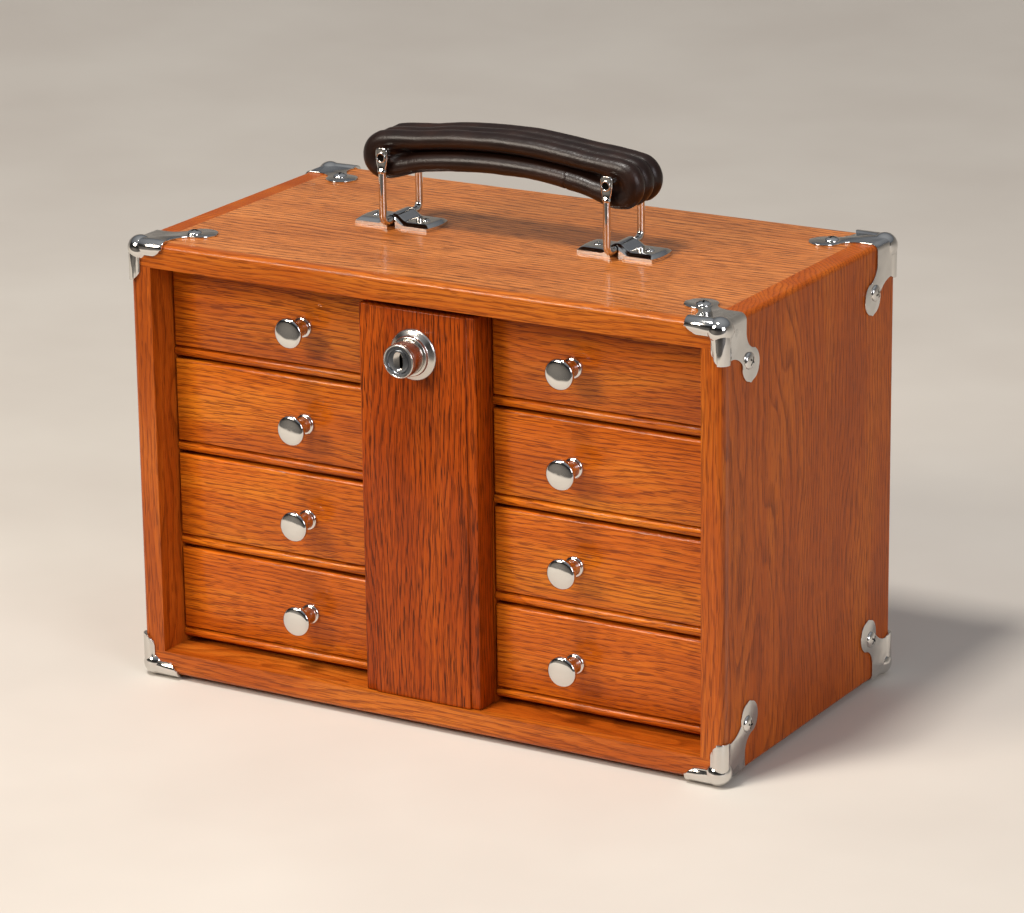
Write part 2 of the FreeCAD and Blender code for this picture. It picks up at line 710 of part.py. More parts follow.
def lip_outline(beyond):
    """Two narrow lips on the front or back, with a rounded inner corner."""
    lip = number(size("bracket_lip"))
    width = number(size("bracket_lip_width"))
    shoulder = number(size("lip_shoulder"))
    tip = number(size("lip_tip"))
    bow = -number(size("lip_bow"))
    inner = width + number(size("lip_round"))
    knee = inner - number(size("lip_round")) * math.sqrt(0.5)
    return outline(
        (-beyond, -beyond), (lip, -beyond), (lip, tip), bowed((lip, tip), (shoulder, width), bow),
        (shoulder, width), (inner, width), [knee, knee], (width, inner), (width, shoulder),
        bowed((width, shoulder), (tip, lip), bow), (tip, lip), (-beyond, lip))


def rounded_corner(start, reach, radius):
    """Block whose lowest corner and its three edges are rounded."""
    solid = Part.makeBox(reach, reach, reach, Vector(start, start, start))
    wanted = []
    for edge in solid.Edges:
        middle = edge.CenterOfMass
        on_faces = sum(abs(value - start) < 1e-6 for value in (middle.x, middle.y, middle.z))
        if on_faces == 2:
            wanted.append(edge)
    return solid.makeFillet(radius, wanted)


def corner_bracket():
    """Bracket for the left, front, lower corner, with that corner of the case at zero."""
    thickness = number(size("bracket_sheet"))
    rise = number(size("bracket_bead"))
    bead = number(size("bracket_bead_radius"))
    ball = number(size("bracket_ball_radius"))
    lip = number(size("bracket_lip"))
    corner = number(size("edge_round"))
    reach = number(size("leaf_tip")) + number(size("leaf_along"))
    beyond = thickness + rise + past
    centre = bead - thickness - rise
    ball_centre = ball - thickness - rise
    case = rounded_corner(0.0, reach, corner)
    skin = rounded_corner(-thickness, reach, corner + thickness)
    across = Part.makeCylinder(bead, lip, Vector(ball_centre, centre, centre), Vector(1, 0, 0))
    upright = Part.makeCylinder(bead, lip, Vector(centre, centre, ball_centre), Vector(0, 0, 1))
    knob_end = Part.makeSphere(ball, Vector(ball_centre, ball_centre, ball_centre))
    stock = skin.fuse([across, upright, knob_end]).cut(case)
    deep = Vector(0, 0, beyond + corner)
    down = Vector(0, 0, -beyond)
    lower_leaf = leaf_outline(beyond).extrude(deep).translated(down)
    side_leaf = lower_leaf.mirror(Vector(), Vector(1, 0, -1))
    front_lips = lip_outline(beyond).extrude(deep).translated(down)
    front_lips = front_lips.mirror(Vector(), Vector(0, 1, -1))
    return stock.common(lower_leaf.fuse([side_leaf, front_lips])).removeSplitter()


def corner_brackets():
    """Eight brackets: the one shape mirrored across the middle of the case."""
    shape = corner_bracket()
    x = number(half_width)
    for end, y, sign_y in (("front", front_y, 1.0), ("rear", back_y, -1.0)):
        for level, z, sign_z in (("lower", base_z, 1.0), ("upper", crown_z, -1.0)):
            placed = shape.copy()
            if sign_y < 0:
                placed = placed.mirror(Vector(), Vector(0, 1, 0))
            if sign_z < 0:
                placed = placed.mirror(Vector(), Vector(0, 0, 1))
            left = placed.translated(Vector(-x, number(y), number(z)))
            right = left.mirror(Vector(), Vector(1, 0, 0))
            item = doc.addObject("Part::Feature", "brackets_%s_%s" % (level, end))
            item.Shape = Part.makeCompound([left, right])


def screw_head(name, radius, rise, x, y, z, axis):
    """Raised screw head that sits on a point, with twelve sides for its round edge."""
    item = doc.addObject("Part::Prism", name)
    item.Polygon = 12
    bind(item, Circumradius=radius, Height=rise)
    item.Placement = Placement(Vector(), Rotation(Vector(0, 0, 1), axis))
    return put(item, x, y, z)


def bracket_screws():
    """A raised screw in each leaf. The four lowest are the feet of the chest."""
    screws = []
    feet = []
    across = size("screw_across")
    along = size("screw_along")
    head = (size("screw_radius"), size("screw_rise"))
    out = size("bracket_sheet")
    for side, sign in (("left", -1.0), ("right", 1.0)):
        for end, y in (("front", front_y + along), ("rear", back_y - along)):
            name = "%s_%s" % (side, end)
            x = (half_width - across) * sign
            feet.append(screw_head("foot_" + name, *head, x, y, base_z - out, Vector(0, 0, -1)))
            screws.append(screw_head("screw_top_" + name, *head, x, y, crown_z + out,
                                     Vector(0, 0, 1)))
            for level, z in (("low", base_z + across), ("high", crown_z - across)):
                screws.append(screw_head("screw_%s_%s" % (level, name), *head,
                                         (half_width + out) * sign, y, z, Vector(sign, 0, 0)))
    group("bracket_screws", *screws)
    group("bracket_feet", *feet)


# The handle: plates with a knuckle over each bail, the bails, and the grip between them.
def handle_plate(name, x):
    """Bevelled plate whose middle is raised over the bail wire."""
    half = size("plate_length") / 2.0
    tall = size("plate_height")
    bevel = size("plate_bevel")
    lift = size("bail_lift")
    bore = size("wire_radius") + size("knuckle_clearance")
    outer = bore + size("knuckle_wall")
    ramp = size("knuckle_ramp")
    lean = math.sqrt(0.5)
    corners = ((-half, zero), (-bore, zero), (-bore, lift, -bore), (zero, lift + bore, -bore),
               (bore, lift), (bore, zero), (half, zero), (half, tall - bevel),
               (half - bevel, tall), (ramp, tall), (outer * lean, lift + outer * lean, outer),
               (-outer * lean, lift + outer * lean), (-ramp, tall), (-half + bevel, tall),
               (-half, tall - bevel))
    body = padded(name, "XZ_Plane", corners, size("plate_width"), True)

    def long_edge(middle, edge):
        outside = near(abs(middle.y), size("plate_width") / 2.0)
        return outside and near(middle.z, tall) and edge.Length > number(half) / 3.0

    dressed(body, "Chamfer", name + "_bevel", bevel, long_edge)
    return put(body, x, handle_y, crown_z)


def handle_plates():
    """Two plates and their screws."""
    plates = []
    screws = []
    head = (size("plate_screw_radius"), size("plate_screw_rise"))
    for side, sign in (("left", -1.0), ("right", 1.0)):
        x = size("bail_spread") * sign
        plates.append(handle_plate("plate_" + side, x))
        for end, reach in (("outer", sign), ("inner", -sign)):
            screws.append(screw_head("plate_screw_%s_%s" % (side, end), *head,
                                     x + size("plate_screw_spread") * reach, handle_y,
                                     crown_z + size("plate_height"), Vector(0, 0, 1)))
    group("handle_plates", *plates)
    group("handle_plate_screws", *screws)


def bail(name, x):
    """U of round wire whose two ends are flattened into eyelets."""
    wire = size("wire_radius")
    bend = size("wire_bend")
    legs = size("bail_legs")
    eyelet = size("eyelet_radius")
    flat = size("eyelet_thickness") / 2.0
    neck = size("eyelet_neck")
    parts = [rod(name + "_bar", wire, (legs - bend) * 2.0, x, handle_y - legs + bend, bail_z,
                 Vector(0, 1, 0))]
    down = Vector(0, 0, -1)
    for end, sign, start, finish in (("front", -1.0, Vector(0, -1, 0), down),
                                     ("rear", 1.0, down, Vector(0, 1, 0))):
        y = handle_y + legs * sign
        corner = doc.addObject("Part::Torus", "%s_bend_%s" % (name, end))
        bind(corner, Radius1=bend, Radius2=wire)
        corner.Angle3 = 90
        spin = Rotation(start, finish, Vector(1, 0, 0), "ZXY")
        corner.Placement = Placement(Vector(), spin)
        put(corner, x, y - bend * sign, bail_z + bend)
        parts.append(corner)
        parts.append(rod("%s_leg_%s" % (name, end), wire, size("bail_height") - bend - neck,
                         x, y, bail_z + bend))
        parts.append(block("%s_flat_%s" % (name, end), (x - eyelet, x + eyelet),
                           (y - flat, y + flat), (eyelet_z - neck, eyelet_z)))
        parts.append(rod("%s_eye_%s" % (name, end), eyelet, flat * 2.0, x, y - flat, eyelet_z,
                         Vector(0, 1, 0)))
    clearance = size("rivet_clearance")
    bore = rod(name + "_bore", size("rivet_radius") + clearance, legs * 2.0 + wire * 4.0,
               x, handle_y - legs - wire * 2.0, eyelet_z, Vector(0, 1, 0))
    cut(name, fuse(name + "_solid", *parts), bore)


def rivet(name, x):
    """Rivet through one end of the grip and both its eyelets."""
    reach = size("bail_legs") + size("eyelet_thickness") / 2.0 + size("rivet_end")
    return rod(name, size("rivet_radius"), reach * 2.0, x, handle_y - reach, eyelet_z,
               Vector(0, 1, 0))


def grip():
    """Arched grip with round ends: tangent arcs, padded to its width and bevelled."""
    end = size("grip_end_radius")
    half = size("grip_length") / 2.0 - end
    arch = size("grip_arch")
    crown = size("grip_crown")
    under = (half * half - end * arch * 2.0 + arch * arch) / (arch * 2.0)
    over = (half * half + end * crown * 2.0 + crown * crown) / (crown * 2.0)
    under_z = arch - under
    over_z = end * 2.0 + crown - over
    under_share = under / (under + end)
    over_share = over / (over - end)
    under_x = half * under_share
    over_x = half * over_share
    low_z = under_z + (end - under_z) * under_share
    high_z = over_z + (end - over_z) * over_share
    corners = ((-half - end, end, end), (-under_x, low_z, -under), (under_x, low_z, end),
               (half + end, end, end), (over_x, high_z, over), (-over_x, high_z, end))
    body = padded("grip_blank", "XZ_Plane", corners, size("grip_width"), True)

    def long_edge(middle, edge):
        return near(abs(middle.y), size("grip_width") / 2.0)

    dressed(body, "Chamfer", "grip_bevels", size("grip_bevel"), long_edge)
    put(body, zero, handle_y, eyelet_z - size("grip_drop") - end)
    return body


def handle():
    """Plates, bails, grip and rivets."""
    handle_plates()
    rivets = []
    bores = []
    for side, sign in (("left", -1.0), ("right", 1.0)):
        x = size("bail_spread") * sign
        bail("bail_" + side, x)
        rivets.append(rivet("rivet_" + side, x))
        bores.append(rod("grip_bore_" + side, size("rivet_radius"), size("bail_legs") * 2.0,
                         x, handle_y - size("bail_legs"), eyelet_z, Vector(0, 1, 0)))
    group("grip_rivets", *rivets)
    cut("grip", grip(), *bores)


def build():
    """Every piece of the chest."""
    case_boards()
    centre_column()
    locking_bar()
    cylinder_lock()
    drawers()
    corner_brackets()
    bracket_screws()
    handle()


def piece_names():
    """Names of the pieces, one file each."""
    names = ["case_side_left", "case_side_right", "case_top", "case_bottom", "case_back",
             "front_rails", "front_stiles", "case_partitions", "centre_post", "drawer_runners"]
    for row in range(int(number(size("rows")))):
        for column in COLUMNS:
            drawer = "drawer_%s_%d" % (column[0], row + 1)
            names += [drawer + part for part in ("_front", "_box", "_lining", "_knob")]
    names += ["brackets_%s_%s" % (level, end) for level in ("lower", "upper")
              for end in ("front", "rear")]
    names += ["bracket_screws", "bracket_feet", "locking_bar", "bar_pins", "lock_barrel",
              "lock_nut", "lock_plug", "lock_cam", "handle_plates", "handle_plate_screws",
              "bail_left", "bail_right", "grip", "grip_rivets"]
    return names


def write_parts():
    """Check every object, then write each piece to its own file."""
    doc.recompute()
    for item in doc.Objects:
        if "Invalid" in item.State or "Error" in item.State:
            raise RuntimeError("%s is not built: %s" % (item.Label, item.State))
    pieces = [doc.getObjectsByLabel(name)[0] for name in piece_names()]
    for item in pieces:
        if item.Shape.isNull() or not item.Shape.isValid():
            raise RuntimeError("%s has no valid shape" % item.Label)
    os.makedirs("parts", exist_ok=True)
    for item in pieces:
        item.Shape.exportStep("parts/%s.step" % item.Label)


build()
write_parts()
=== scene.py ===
"""Machinist tool chest: varnished oak, polished nickel, a padded leather grip, and a pale studio.

Metres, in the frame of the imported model: +X to the right of the front, +Y to the back, +Z up.
Sizes are written in millimetres and turned to metres with MM.
"""

import math
import random

import bmesh
import bpy
from mathutils import Euler, Matrix, Vector, noise


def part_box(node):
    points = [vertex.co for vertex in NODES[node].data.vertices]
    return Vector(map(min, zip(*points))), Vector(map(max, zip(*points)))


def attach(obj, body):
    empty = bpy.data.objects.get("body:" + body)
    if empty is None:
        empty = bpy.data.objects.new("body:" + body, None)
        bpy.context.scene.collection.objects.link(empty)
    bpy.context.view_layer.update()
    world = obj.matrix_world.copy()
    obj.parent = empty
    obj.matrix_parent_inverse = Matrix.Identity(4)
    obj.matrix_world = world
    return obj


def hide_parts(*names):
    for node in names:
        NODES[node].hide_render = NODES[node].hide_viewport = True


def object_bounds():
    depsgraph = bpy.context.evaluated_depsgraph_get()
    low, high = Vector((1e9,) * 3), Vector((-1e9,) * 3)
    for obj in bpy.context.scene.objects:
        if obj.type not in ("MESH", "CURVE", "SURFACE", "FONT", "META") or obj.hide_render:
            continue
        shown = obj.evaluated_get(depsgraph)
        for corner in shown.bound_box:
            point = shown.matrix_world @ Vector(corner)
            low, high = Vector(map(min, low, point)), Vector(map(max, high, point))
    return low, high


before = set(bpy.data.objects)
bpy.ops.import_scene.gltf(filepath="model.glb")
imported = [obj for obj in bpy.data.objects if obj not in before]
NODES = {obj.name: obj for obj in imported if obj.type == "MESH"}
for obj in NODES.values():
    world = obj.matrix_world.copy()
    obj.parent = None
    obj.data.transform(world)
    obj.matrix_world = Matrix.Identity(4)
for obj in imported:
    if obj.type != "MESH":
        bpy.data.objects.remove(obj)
cad_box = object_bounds()

MM = 0.001
ALONG_X = (0.0, 0.0, 0.0)
ALONG_Z = (0.0, math.pi / 2.0, 0.0)
ALONG_Y = (0.0, 0.0, math.pi / 2.0)
# Stands a shape that was made along +Z on a face that looks to -Y.
TO_FRONT = Matrix.Rotation(math.pi / 2.0, 4, "X")
# An edge is sharp past one angle, and two faces are one plane below the other.
SHARP = math.radians(35.0)
FLAT = math.radians(0.3)
# Points nearer to each other than this are one point.
WELD = 0.002 * MM


def linear(colour):
    """Linear colour of an sRGB hex value."""
    channels = [int(colour[place:place + 2], 16) / 255.0 for place in (1, 3, 5)]
    return (*[c / 12.92 if c <= 0.04045 else ((c + 0.055) / 1.055) ** 2.4 for c in channels], 1.0)


def feed(tree, item, sockets):
    """Put a value, a link or a list of links on each named socket of a node."""
    for socket, value in sockets.items():
        for part in value if isinstance(value, list) else [value]:
            if isinstance(part, bpy.types.NodeSocket):
                tree.links.new(part, item.inputs[socket])
            else:
                item.inputs[socket].default_value = part


def node(tree, kind, sockets=None, stops=None, **settings):
    """Add a node with its settings, the stops of its ramp, and values or links on its sockets."""
    item = tree.nodes.new(kind)
    for name, value in settings.items():
        setattr(item, name, value)
    feed(tree, item, sockets or {})
    if stops:
        ramp = item.color_ramp
        while len(ramp.elements) < len(stops):
            ramp.elements.new(0.5)
        for element, (place, colour) in zip(ramp.elements, stops):
            element.position = place
            element.color = linear(colour)
    return item


def scale_of(size):
    """Scale of a pattern whose parts are so many millimetres wide."""
    return 1.0 / (size * MM)


def material(name):
    """A new material with its surface shader, and places on the object that wears it."""
    made = bpy.data.materials.new(name)
    made.use_nodes = True
    tree = made.node_tree
    tree.nodes.clear()
    shader = node(tree, "ShaderNodeBsdfPrincipled")
    node(tree, "ShaderNodeOutputMaterial", {"Surface": shader.outputs["BSDF"]})
    place = node(tree, "ShaderNodeTexCoord").outputs["Object"]
    return made, tree, shader, place


# Finishes. The sizes of the oak's marks are in millimetres. Each board lies one step further
# along the log, whose heart wanders.
BOARD_STEP = 137.0
HEART_SWAY = 34.0
SWAY_LENGTH, SWAY_WIDTH = 170.0, 50.0
TONE_LENGTH, TONE_WIDTH = 130.0, 24.0
# Fibres are finer than a pixel, so they are drawn 0.7 mm wide and some centimetres long.
FIBRE_LENGTH, FIBRE_WIDTH = 44.0, 0.7
# Pores: real ones are a quarter of a millimetre wide, drawn wider so that they show.
PORE_LENGTH, PORE_WIDTH = 10.0, 0.36
PORE_DEPTH = 0.08
# How much more often pores open at the start of a ring, and how much darker it is.
PORE_CROWD = 0.20
RING_SHADE = 0.50


def oak(name, grain, heart, colours, ring=3.0, seed=0.0, gloss=0.4, marks=0.55):
    """Varnished oak, sawn from a log whose heart lies off the board.

    The growth rings round the heart give arches on the broad faces and curved lines on the end
    grain. Open pores crowd at the start of each ring and show as short dark dashes along the
    grain. Colours go from the pale late wood to the dark pores.
    """
    made, tree, shader, place = material(name)
    pale, warm, deep, pore = colours
    board = node(tree, "ShaderNodeMapping", {
        "Vector": place, "Rotation": grain, "Scale": (1.0 / MM,) * 3})
    log = node(tree, "ShaderNodeVectorMath", {
        0: board.outputs["Vector"], 1: (seed * BOARD_STEP, *heart)}, operation="ADD")

    def streaks(length, width, detail, rough=0.55):
        """Noise drawn out along the grain."""
        drawn = node(tree, "ShaderNodeVectorMath", {
            0: log.outputs["Vector"], 1: (1.0 / length, 1.0 / width, 1.0 / width)},
            operation="MULTIPLY")
        return node(tree, "ShaderNodeTexNoise", {
            "Vector": drawn.outputs["Vector"], "Scale": 1.0, "Detail": detail,
            "Roughness": rough})

    # The log isn't straight: its heart wanders by some millimetres over a hand's length.
    centred = node(tree, "ShaderNodeVectorMath", {
        0: streaks(SWAY_LENGTH, SWAY_WIDTH, 1.5).outputs["Color"], 1: (0.5, 0.5, 0.5)},
        operation="SUBTRACT")
    sway = node(tree, "ShaderNodeVectorMath", {
        0: centred.outputs["Vector"], 1: (0.0, HEART_SWAY, HEART_SWAY), 2: log.outputs["Vector"]},
        operation="MULTIPLY_ADD")
    across = node(tree, "ShaderNodeVectorMath", {
        0: sway.outputs["Vector"], 1: (0.0, 1.0, 1.0)}, operation="MULTIPLY")
    radius = node(tree, "ShaderNodeVectorMath", {0: across.outputs["Vector"]}, operation="LENGTH")
    rings = node(tree, "ShaderNodeMath", {0: radius.outputs["Value"], 1: 1.0 / ring},
                 operation="MULTIPLY")
    age = node(tree, "ShaderNodeMath", {0: rings.outputs["Value"]}, operation="FRACT")
    early = node(tree, "ShaderNodeValToRGB", {"Fac": age.outputs["Value"]}, stops=(
        (0.0, "#FFFFFF"), (0.20, "#BCBCBC"), (0.45, "#303030"), (0.92, "#000000"),
        (1.0, "#FFFFFF")))

    fibre = streaks(FIBRE_LENGTH, FIBRE_WIDTH, 2.0, 0.6)
    speck = streaks(PORE_LENGTH, PORE_WIDTH, 0.0)
    crowd = node(tree, "ShaderNodeMath", {
        0: early.outputs["Color"], 1: PORE_CROWD, 2: speck.outputs["Fac"]},
        operation="MULTIPLY_ADD")
    pores = node(tree, "ShaderNodeValToRGB", {"Fac": crowd.outputs["Value"]}, stops=(
        (0.0, "#000000"), (0.60, "#000000"), (0.69, "#FFFFFF"), (1.0, "#FFFFFF")))
    # Tone: stain and wood vary over some centimetres.
    tone = streaks(TONE_LENGTH, TONE_WIDTH, 2.0)

    shade = node(tree, "ShaderNodeMath", {
        0: fibre.outputs["Fac"], 1: 0.55, 2: tone.outputs["Fac"]}, operation="MULTIPLY_ADD")
    body = node(tree, "ShaderNodeValToRGB", {"Fac": shade.outputs["Value"]}, stops=(
        (0.38, deep), (0.72, warm), (1.0, pale)))
    band = node(tree, "ShaderNodeMath", {0: early.outputs["Color"], 1: RING_SHADE},
                operation="MULTIPLY")
    banded = node(tree, "ShaderNodeMix", {
        "Factor": band.outputs["Value"], 6: body.outputs["Color"], 7: linear(deep)},
        data_type="RGBA")
    strength = node(tree, "ShaderNodeMath", {0: pores.outputs["Color"], 1: marks},
                    operation="MULTIPLY")
    dotted = node(tree, "ShaderNodeMix", {
        "Factor": strength.outputs["Value"], 6: banded.outputs[2], 7: linear(pore)},
        data_type="RGBA")

    rough = node(tree, "ShaderNodeMapRange", {
        "Value": tone.outputs["Fac"], "To Min": 0.38, "To Max": 0.5})
    height = node(tree, "ShaderNodeMath", {
        0: fibre.outputs["Fac"], 1: 0.3, 2: pores.outputs["Color"]}, operation="MULTIPLY_ADD")
    bump = node(tree, "ShaderNodeBump", {
        "Strength": 0.30, "Distance": PORE_DEPTH * MM, "Height": height.outputs["Value"]},
        invert=True)
    # Varnish: a thin clear coat. The wood under it has almost no gloss of its own.
    feed(tree, shader, {
        "Base Color": dotted.outputs[2], "Roughness": rough.outputs["Result"],
        "Specular IOR Level": 0.08, "Coat Weight": gloss, "Coat Roughness": 0.16,
        "Normal": bump.outputs["Normal"], "Coat Normal": bump.outputs["Normal"]})
    return made


# Wiping leaves patches of haze some 11 mm wide, and stamping leaves waves as long.
HAZE_SCALE = 90.0
WAVE_LENGTH = 11.0


def nickel(name, colour, rough, wave=0.0, haze=0.08):
    """Nickel plate over stamped or turned metal.

    The plate follows the slight waves that stamping leaves, and wiping has given it a haze.
    """
    made, tree, shader, place = material(name)
    cloud = node(tree, "ShaderNodeTexNoise", {
        "Vector": place, "Scale": HAZE_SCALE, "Detail": 4.0})
    wear = node(tree, "ShaderNodeMapRange", {
        "Value": cloud.outputs["Fac"], "From Min": 0.4, "From Max": 0.75,
        "To Min": rough, "To Max": rough + haze})
    swell = node(tree, "ShaderNodeTexNoise", {
        "Vector": place, "Scale": scale_of(WAVE_LENGTH), "Detail": 1.0})
    bump = node(tree, "ShaderNodeBump", {
        "Strength": 1.0, "Distance": wave * MM, "Height": swell.outputs["Fac"]})
    feed(tree, shader, {
        "Base Color": linear(colour), "Metallic": 1.0, "Roughness": wear.outputs["Result"],
        "Normal": bump.outputs["Normal"]})
    return made


# Sizes in the leather: its pebbled grain, the blotches of its dye and its wrinkles.
PEBBLE = 0.9
BLOTCH = 16.0
WRINKLE = 5.0
LEATHER_RELIEF = 0.10


def leather():
    """Waxed dark brown cowhide: fine pebbled grain, redder in random blotches, with a low gloss."""
    made, tree, shader, place = material("waxed cowhide")
    pebble = node(tree, "ShaderNodeTexVoronoi", {
        "Vector": place, "Scale": scale_of(PEBBLE)}, feature="SMOOTH_F1")
    blotch = node(tree, "ShaderNodeTexNoise", {
        "Vector": place, "Scale": scale_of(BLOTCH), "Detail": 5.0})
    colour = node(tree, "ShaderNodeValToRGB", {"Fac": blotch.outputs["Fac"]}, stops=(
        (0.30, "#140906"), (0.55, "#1F100A"), (0.80, "#2D180F")))
    rough = node(tree, "ShaderNodeMapRange", {
        "Value": blotch.outputs["Fac"], "To Min": 0.25, "To Max": 0.42})
    wrinkle = node(tree, "ShaderNodeTexNoise", {
        "Vector": place, "Scale": scale_of(WRINKLE), "Detail": 3.0, "Distortion": 1.6})
    height = node(tree, "ShaderNodeMath", {
        0: wrinkle.outputs["Fac"], 1: 3.0, 2: pebble.outputs["Distance"]},
        operation="MULTIPLY_ADD")
    bump = node(tree, "ShaderNodeBump", {
        "Strength": 0.5, "Distance": LEATHER_RELIEF * MM, "Height": height.outputs["Value"]})
    feed(tree, shader, {
        "Base Color": colour.outputs["Color"], "Roughness": rough.outputs["Result"],
        "Specular IOR Level": 0.36, "Normal": bump.outputs["Normal"]})
    return made


# The nap of the felt comes in tufts of about a millimetre, which stand 0.3 mm high.
NAP_SCALE = 900.0
NAP_HEIGHT = 0.3


def felt():
    """Short green felt: matt and slightly mottled, with a soft sheen at its edges."""
    made, tree, shader, place = material("short green felt")
    nap = node(tree, "ShaderNodeTexNoise", {"Vector": place, "Scale": NAP_SCALE, "Detail": 4.0})
    colour = node(tree, "ShaderNodeValToRGB", {"Fac": nap.outputs["Fac"]}, stops=(
        (0.3, "#16301B"), (0.7, "#28502F")))
    bump = node(tree, "ShaderNodeBump", {
        "Strength": 0.6, "Distance": NAP_HEIGHT * MM, "Height": nap.outputs["Fac"]})
    feed(tree, shader, {
        "Base Color": colour.outputs["Color"], "Roughness": 0.95, "Sheen Weight": 0.4,
        "Normal": bump.outputs["Normal"]})
    return made


# sRGB tones of the oak, from pale late wood to the pores.
AMBER = ("#D87C1A", "#C4600E", "#9A4208", "#672704")
# Rails and stiles: the fronts' oak made darker, as painted shade, because in this light they catch
# more of it than the recessed drawers. The inside of the case shares this darkened tone.
RAIL_AMBER_WITH_PAINTED_SHADE = ("#C0691E", "#AA5010", "#863808", "#5E2405")
# Top: paler and greyer than the fronts. This is partly the board's own tone and partly painted
# sheen, a lift that stands in for the pale reflection on its varnish.
TOP_AMBER_WITH_PAINTED_SHEEN = ("#D68442", "#C67434", "#944A16", "#5E2A0A")
RUSSET = ("#AE4E0C", "#983C06", "#762C04", "#4A1A02")
# Sides: darker and redder than the fronts. This is partly the boards' own tone and partly painted
# shade, taken from the right side where it lies in shade.
SIDE_RUSSET_WITH_PAINTED_SHADE = ("#BC601A", "#AC5012", "#903E0A", "#6A2C08")
PLAIN = ("#D9AE78", "#CB9B63", "#B58450", "#7A532E")


def paint(finish, *names):
    """Give CAD nodes a finish."""
    for name in names:
        data = NODES[name].data
        data.materials.clear()
        data.materials.append(finish)


# Making pieces.
def mesh_data(name, mesh):
    """Mesh data of a shape, which is freed."""
    data = bpy.data.meshes.new(name)
    mesh.to_mesh(data)
    mesh.free()
    return data


def add_object(name, data):
    """A new object in the scene."""
    made = bpy.data.objects.new(name, data)
    bpy.context.scene.collection.objects.link(made)
    return made


def piece(name, mesh, finishes, body, slot, *replaced):
    """Turn a mesh into a piece that rides on a body and stands for the nodes it replaces."""
    bmesh.ops.remove_doubles(mesh, verts=mesh.verts, dist=WELD)
    bmesh.ops.recalc_face_normals(mesh, faces=mesh.faces)
    for face in mesh.faces:
        face.smooth = True
    for edge in mesh.edges:
        edge.smooth = len(edge.link_faces) == 2 and edge.calc_face_angle() < SHARP
    data = mesh_data(name, mesh)
    for finish in finishes:
        data.materials.append(finish)
    made = add_object(name, data)
    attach(made, body)
    if replaced:
        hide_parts(*replaced)
    return made


def softened(name, source, width, finish, body, slot, steps=2):
    """Copy of a CAD node with its sharp arrises eased by a small round."""
    mesh = bmesh.new()
    mesh.from_mesh(NODES[source].data)
    bmesh.ops.remove_doubles(mesh, verts=mesh.verts, dist=WELD)
    bmesh.ops.dissolve_limit(mesh, angle_limit=FLAT, verts=mesh.verts, edges=mesh.edges)
    arrises = [edge for edge in mesh.edges
               if len(edge.link_faces) == 2 and edge.calc_face_angle() > SHARP]
    bmesh.ops.bevel(mesh, geom=arrises, offset=width * MM, offset_type="OFFSET", segments=steps,
                    profile=0.5, affect="EDGES", clamp_overlap=False)
    return piece(name, mesh, [finish], body, slot, source)


def bridge(mesh, rings, ends=False, finish=0):
    """Faces between rings of points; a ring of one point is a pole."""
    rows = [[mesh.verts.new(point * MM) for point in ring] for ring in rings]
    for lower, upper in zip(rows, rows[1:]):
        count = max(len(lower), len(upper))
        for place in range(count):
            corners = []
            for row, step in ((lower, place), (lower, place + 1), (upper, place + 1),
                              (upper, place)):
                corner = row[step % len(row)]
                if corner not in corners:
                    corners.append(corner)
            if len(corners) > 2:
                mesh.faces.new(corners).material_index = finish
    if ends:
        mesh.faces.new(rows[0]).material_index = finish
        mesh.faces.new(rows[-1]).material_index = finish
    return rows


def eased(points, steps=5):
    """Smooth line through points; a point given twice in a row is a corner."""
    points = [Vector(point) for point in points]
    line = [points[0]]
    for order in range(len(points) - 1):
        start, end = points[order], points[order + 1]
        if (end - start).length < 1e-6:
            continue
        before = points[order - 1] if order > 0 else start
        after = points[order + 2] if order + 2 < len(points) else end
        if (before - start).length < 1e-6:
            before = start * 2.0 - end
        if (after - end).length < 1e-6:
            after = end * 2.0 - start
        for step in range(1, steps + 1):
            share = step / steps
            line.append(0.5 * (start * 2.0 + (end - before) * share
                               + (before * 2.0 - start * 5.0 + end * 4.0 - after) * share ** 2
                               + (start * 3.0 - before - end * 3.0 + after) * share ** 3))
    return line


def eased_profile(points, steps):
    """Smooth line through pairs of radius and height."""
    line = eased([(radius, height, 0.0) for radius, height in points], steps)
    return [(point.x, point.y) for point in line]


def loop(height, wide, deep, power=2.0, count=48):
    """Ring of points round +Z: a circle, an ellipse or, with a higher power, a rounded slot."""
    points = []
    for step in range(count):
        turn = math.tau * step / count
        c, s = math.cos(turn), math.sin(turn)
        points.append(Vector((math.copysign(abs(c) ** (2.0 / power), c) * wide,
                              math.copysign(abs(s) ** (2.0 / power), s) * deep, height)))
    return points


def turned(profile, count=48):
    """Rings of a turned shape from its radius and height, point by point."""
    return [[Vector((0.0, 0.0, height))] if radius < 1e-4 else loop(height, radius, radius,
                                                                  count=count)
            for radius, height in profile]


def middle_of(name):
    """Middle of the box of a CAD node."""
    return [(low + high) / 2.0 for low, high in zip(*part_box(name))]


def stand(mesh, place, turn=TO_FRONT):
    """Turn a shape that was made along +Z and move it to its place, in metres."""
    bmesh.ops.transform(mesh, matrix=Matrix.Translation(place) @ turn, verts=mesh.verts)


# The case and the drawers. The bar's arrises are eased more than those of a drawer front.
BAR_EASING = 0.7
FRONT_EASING = 0.35
KNOB_SCREW_RADIUS = 3.4
KNOB_SCREW_HEIGHT = 1.7


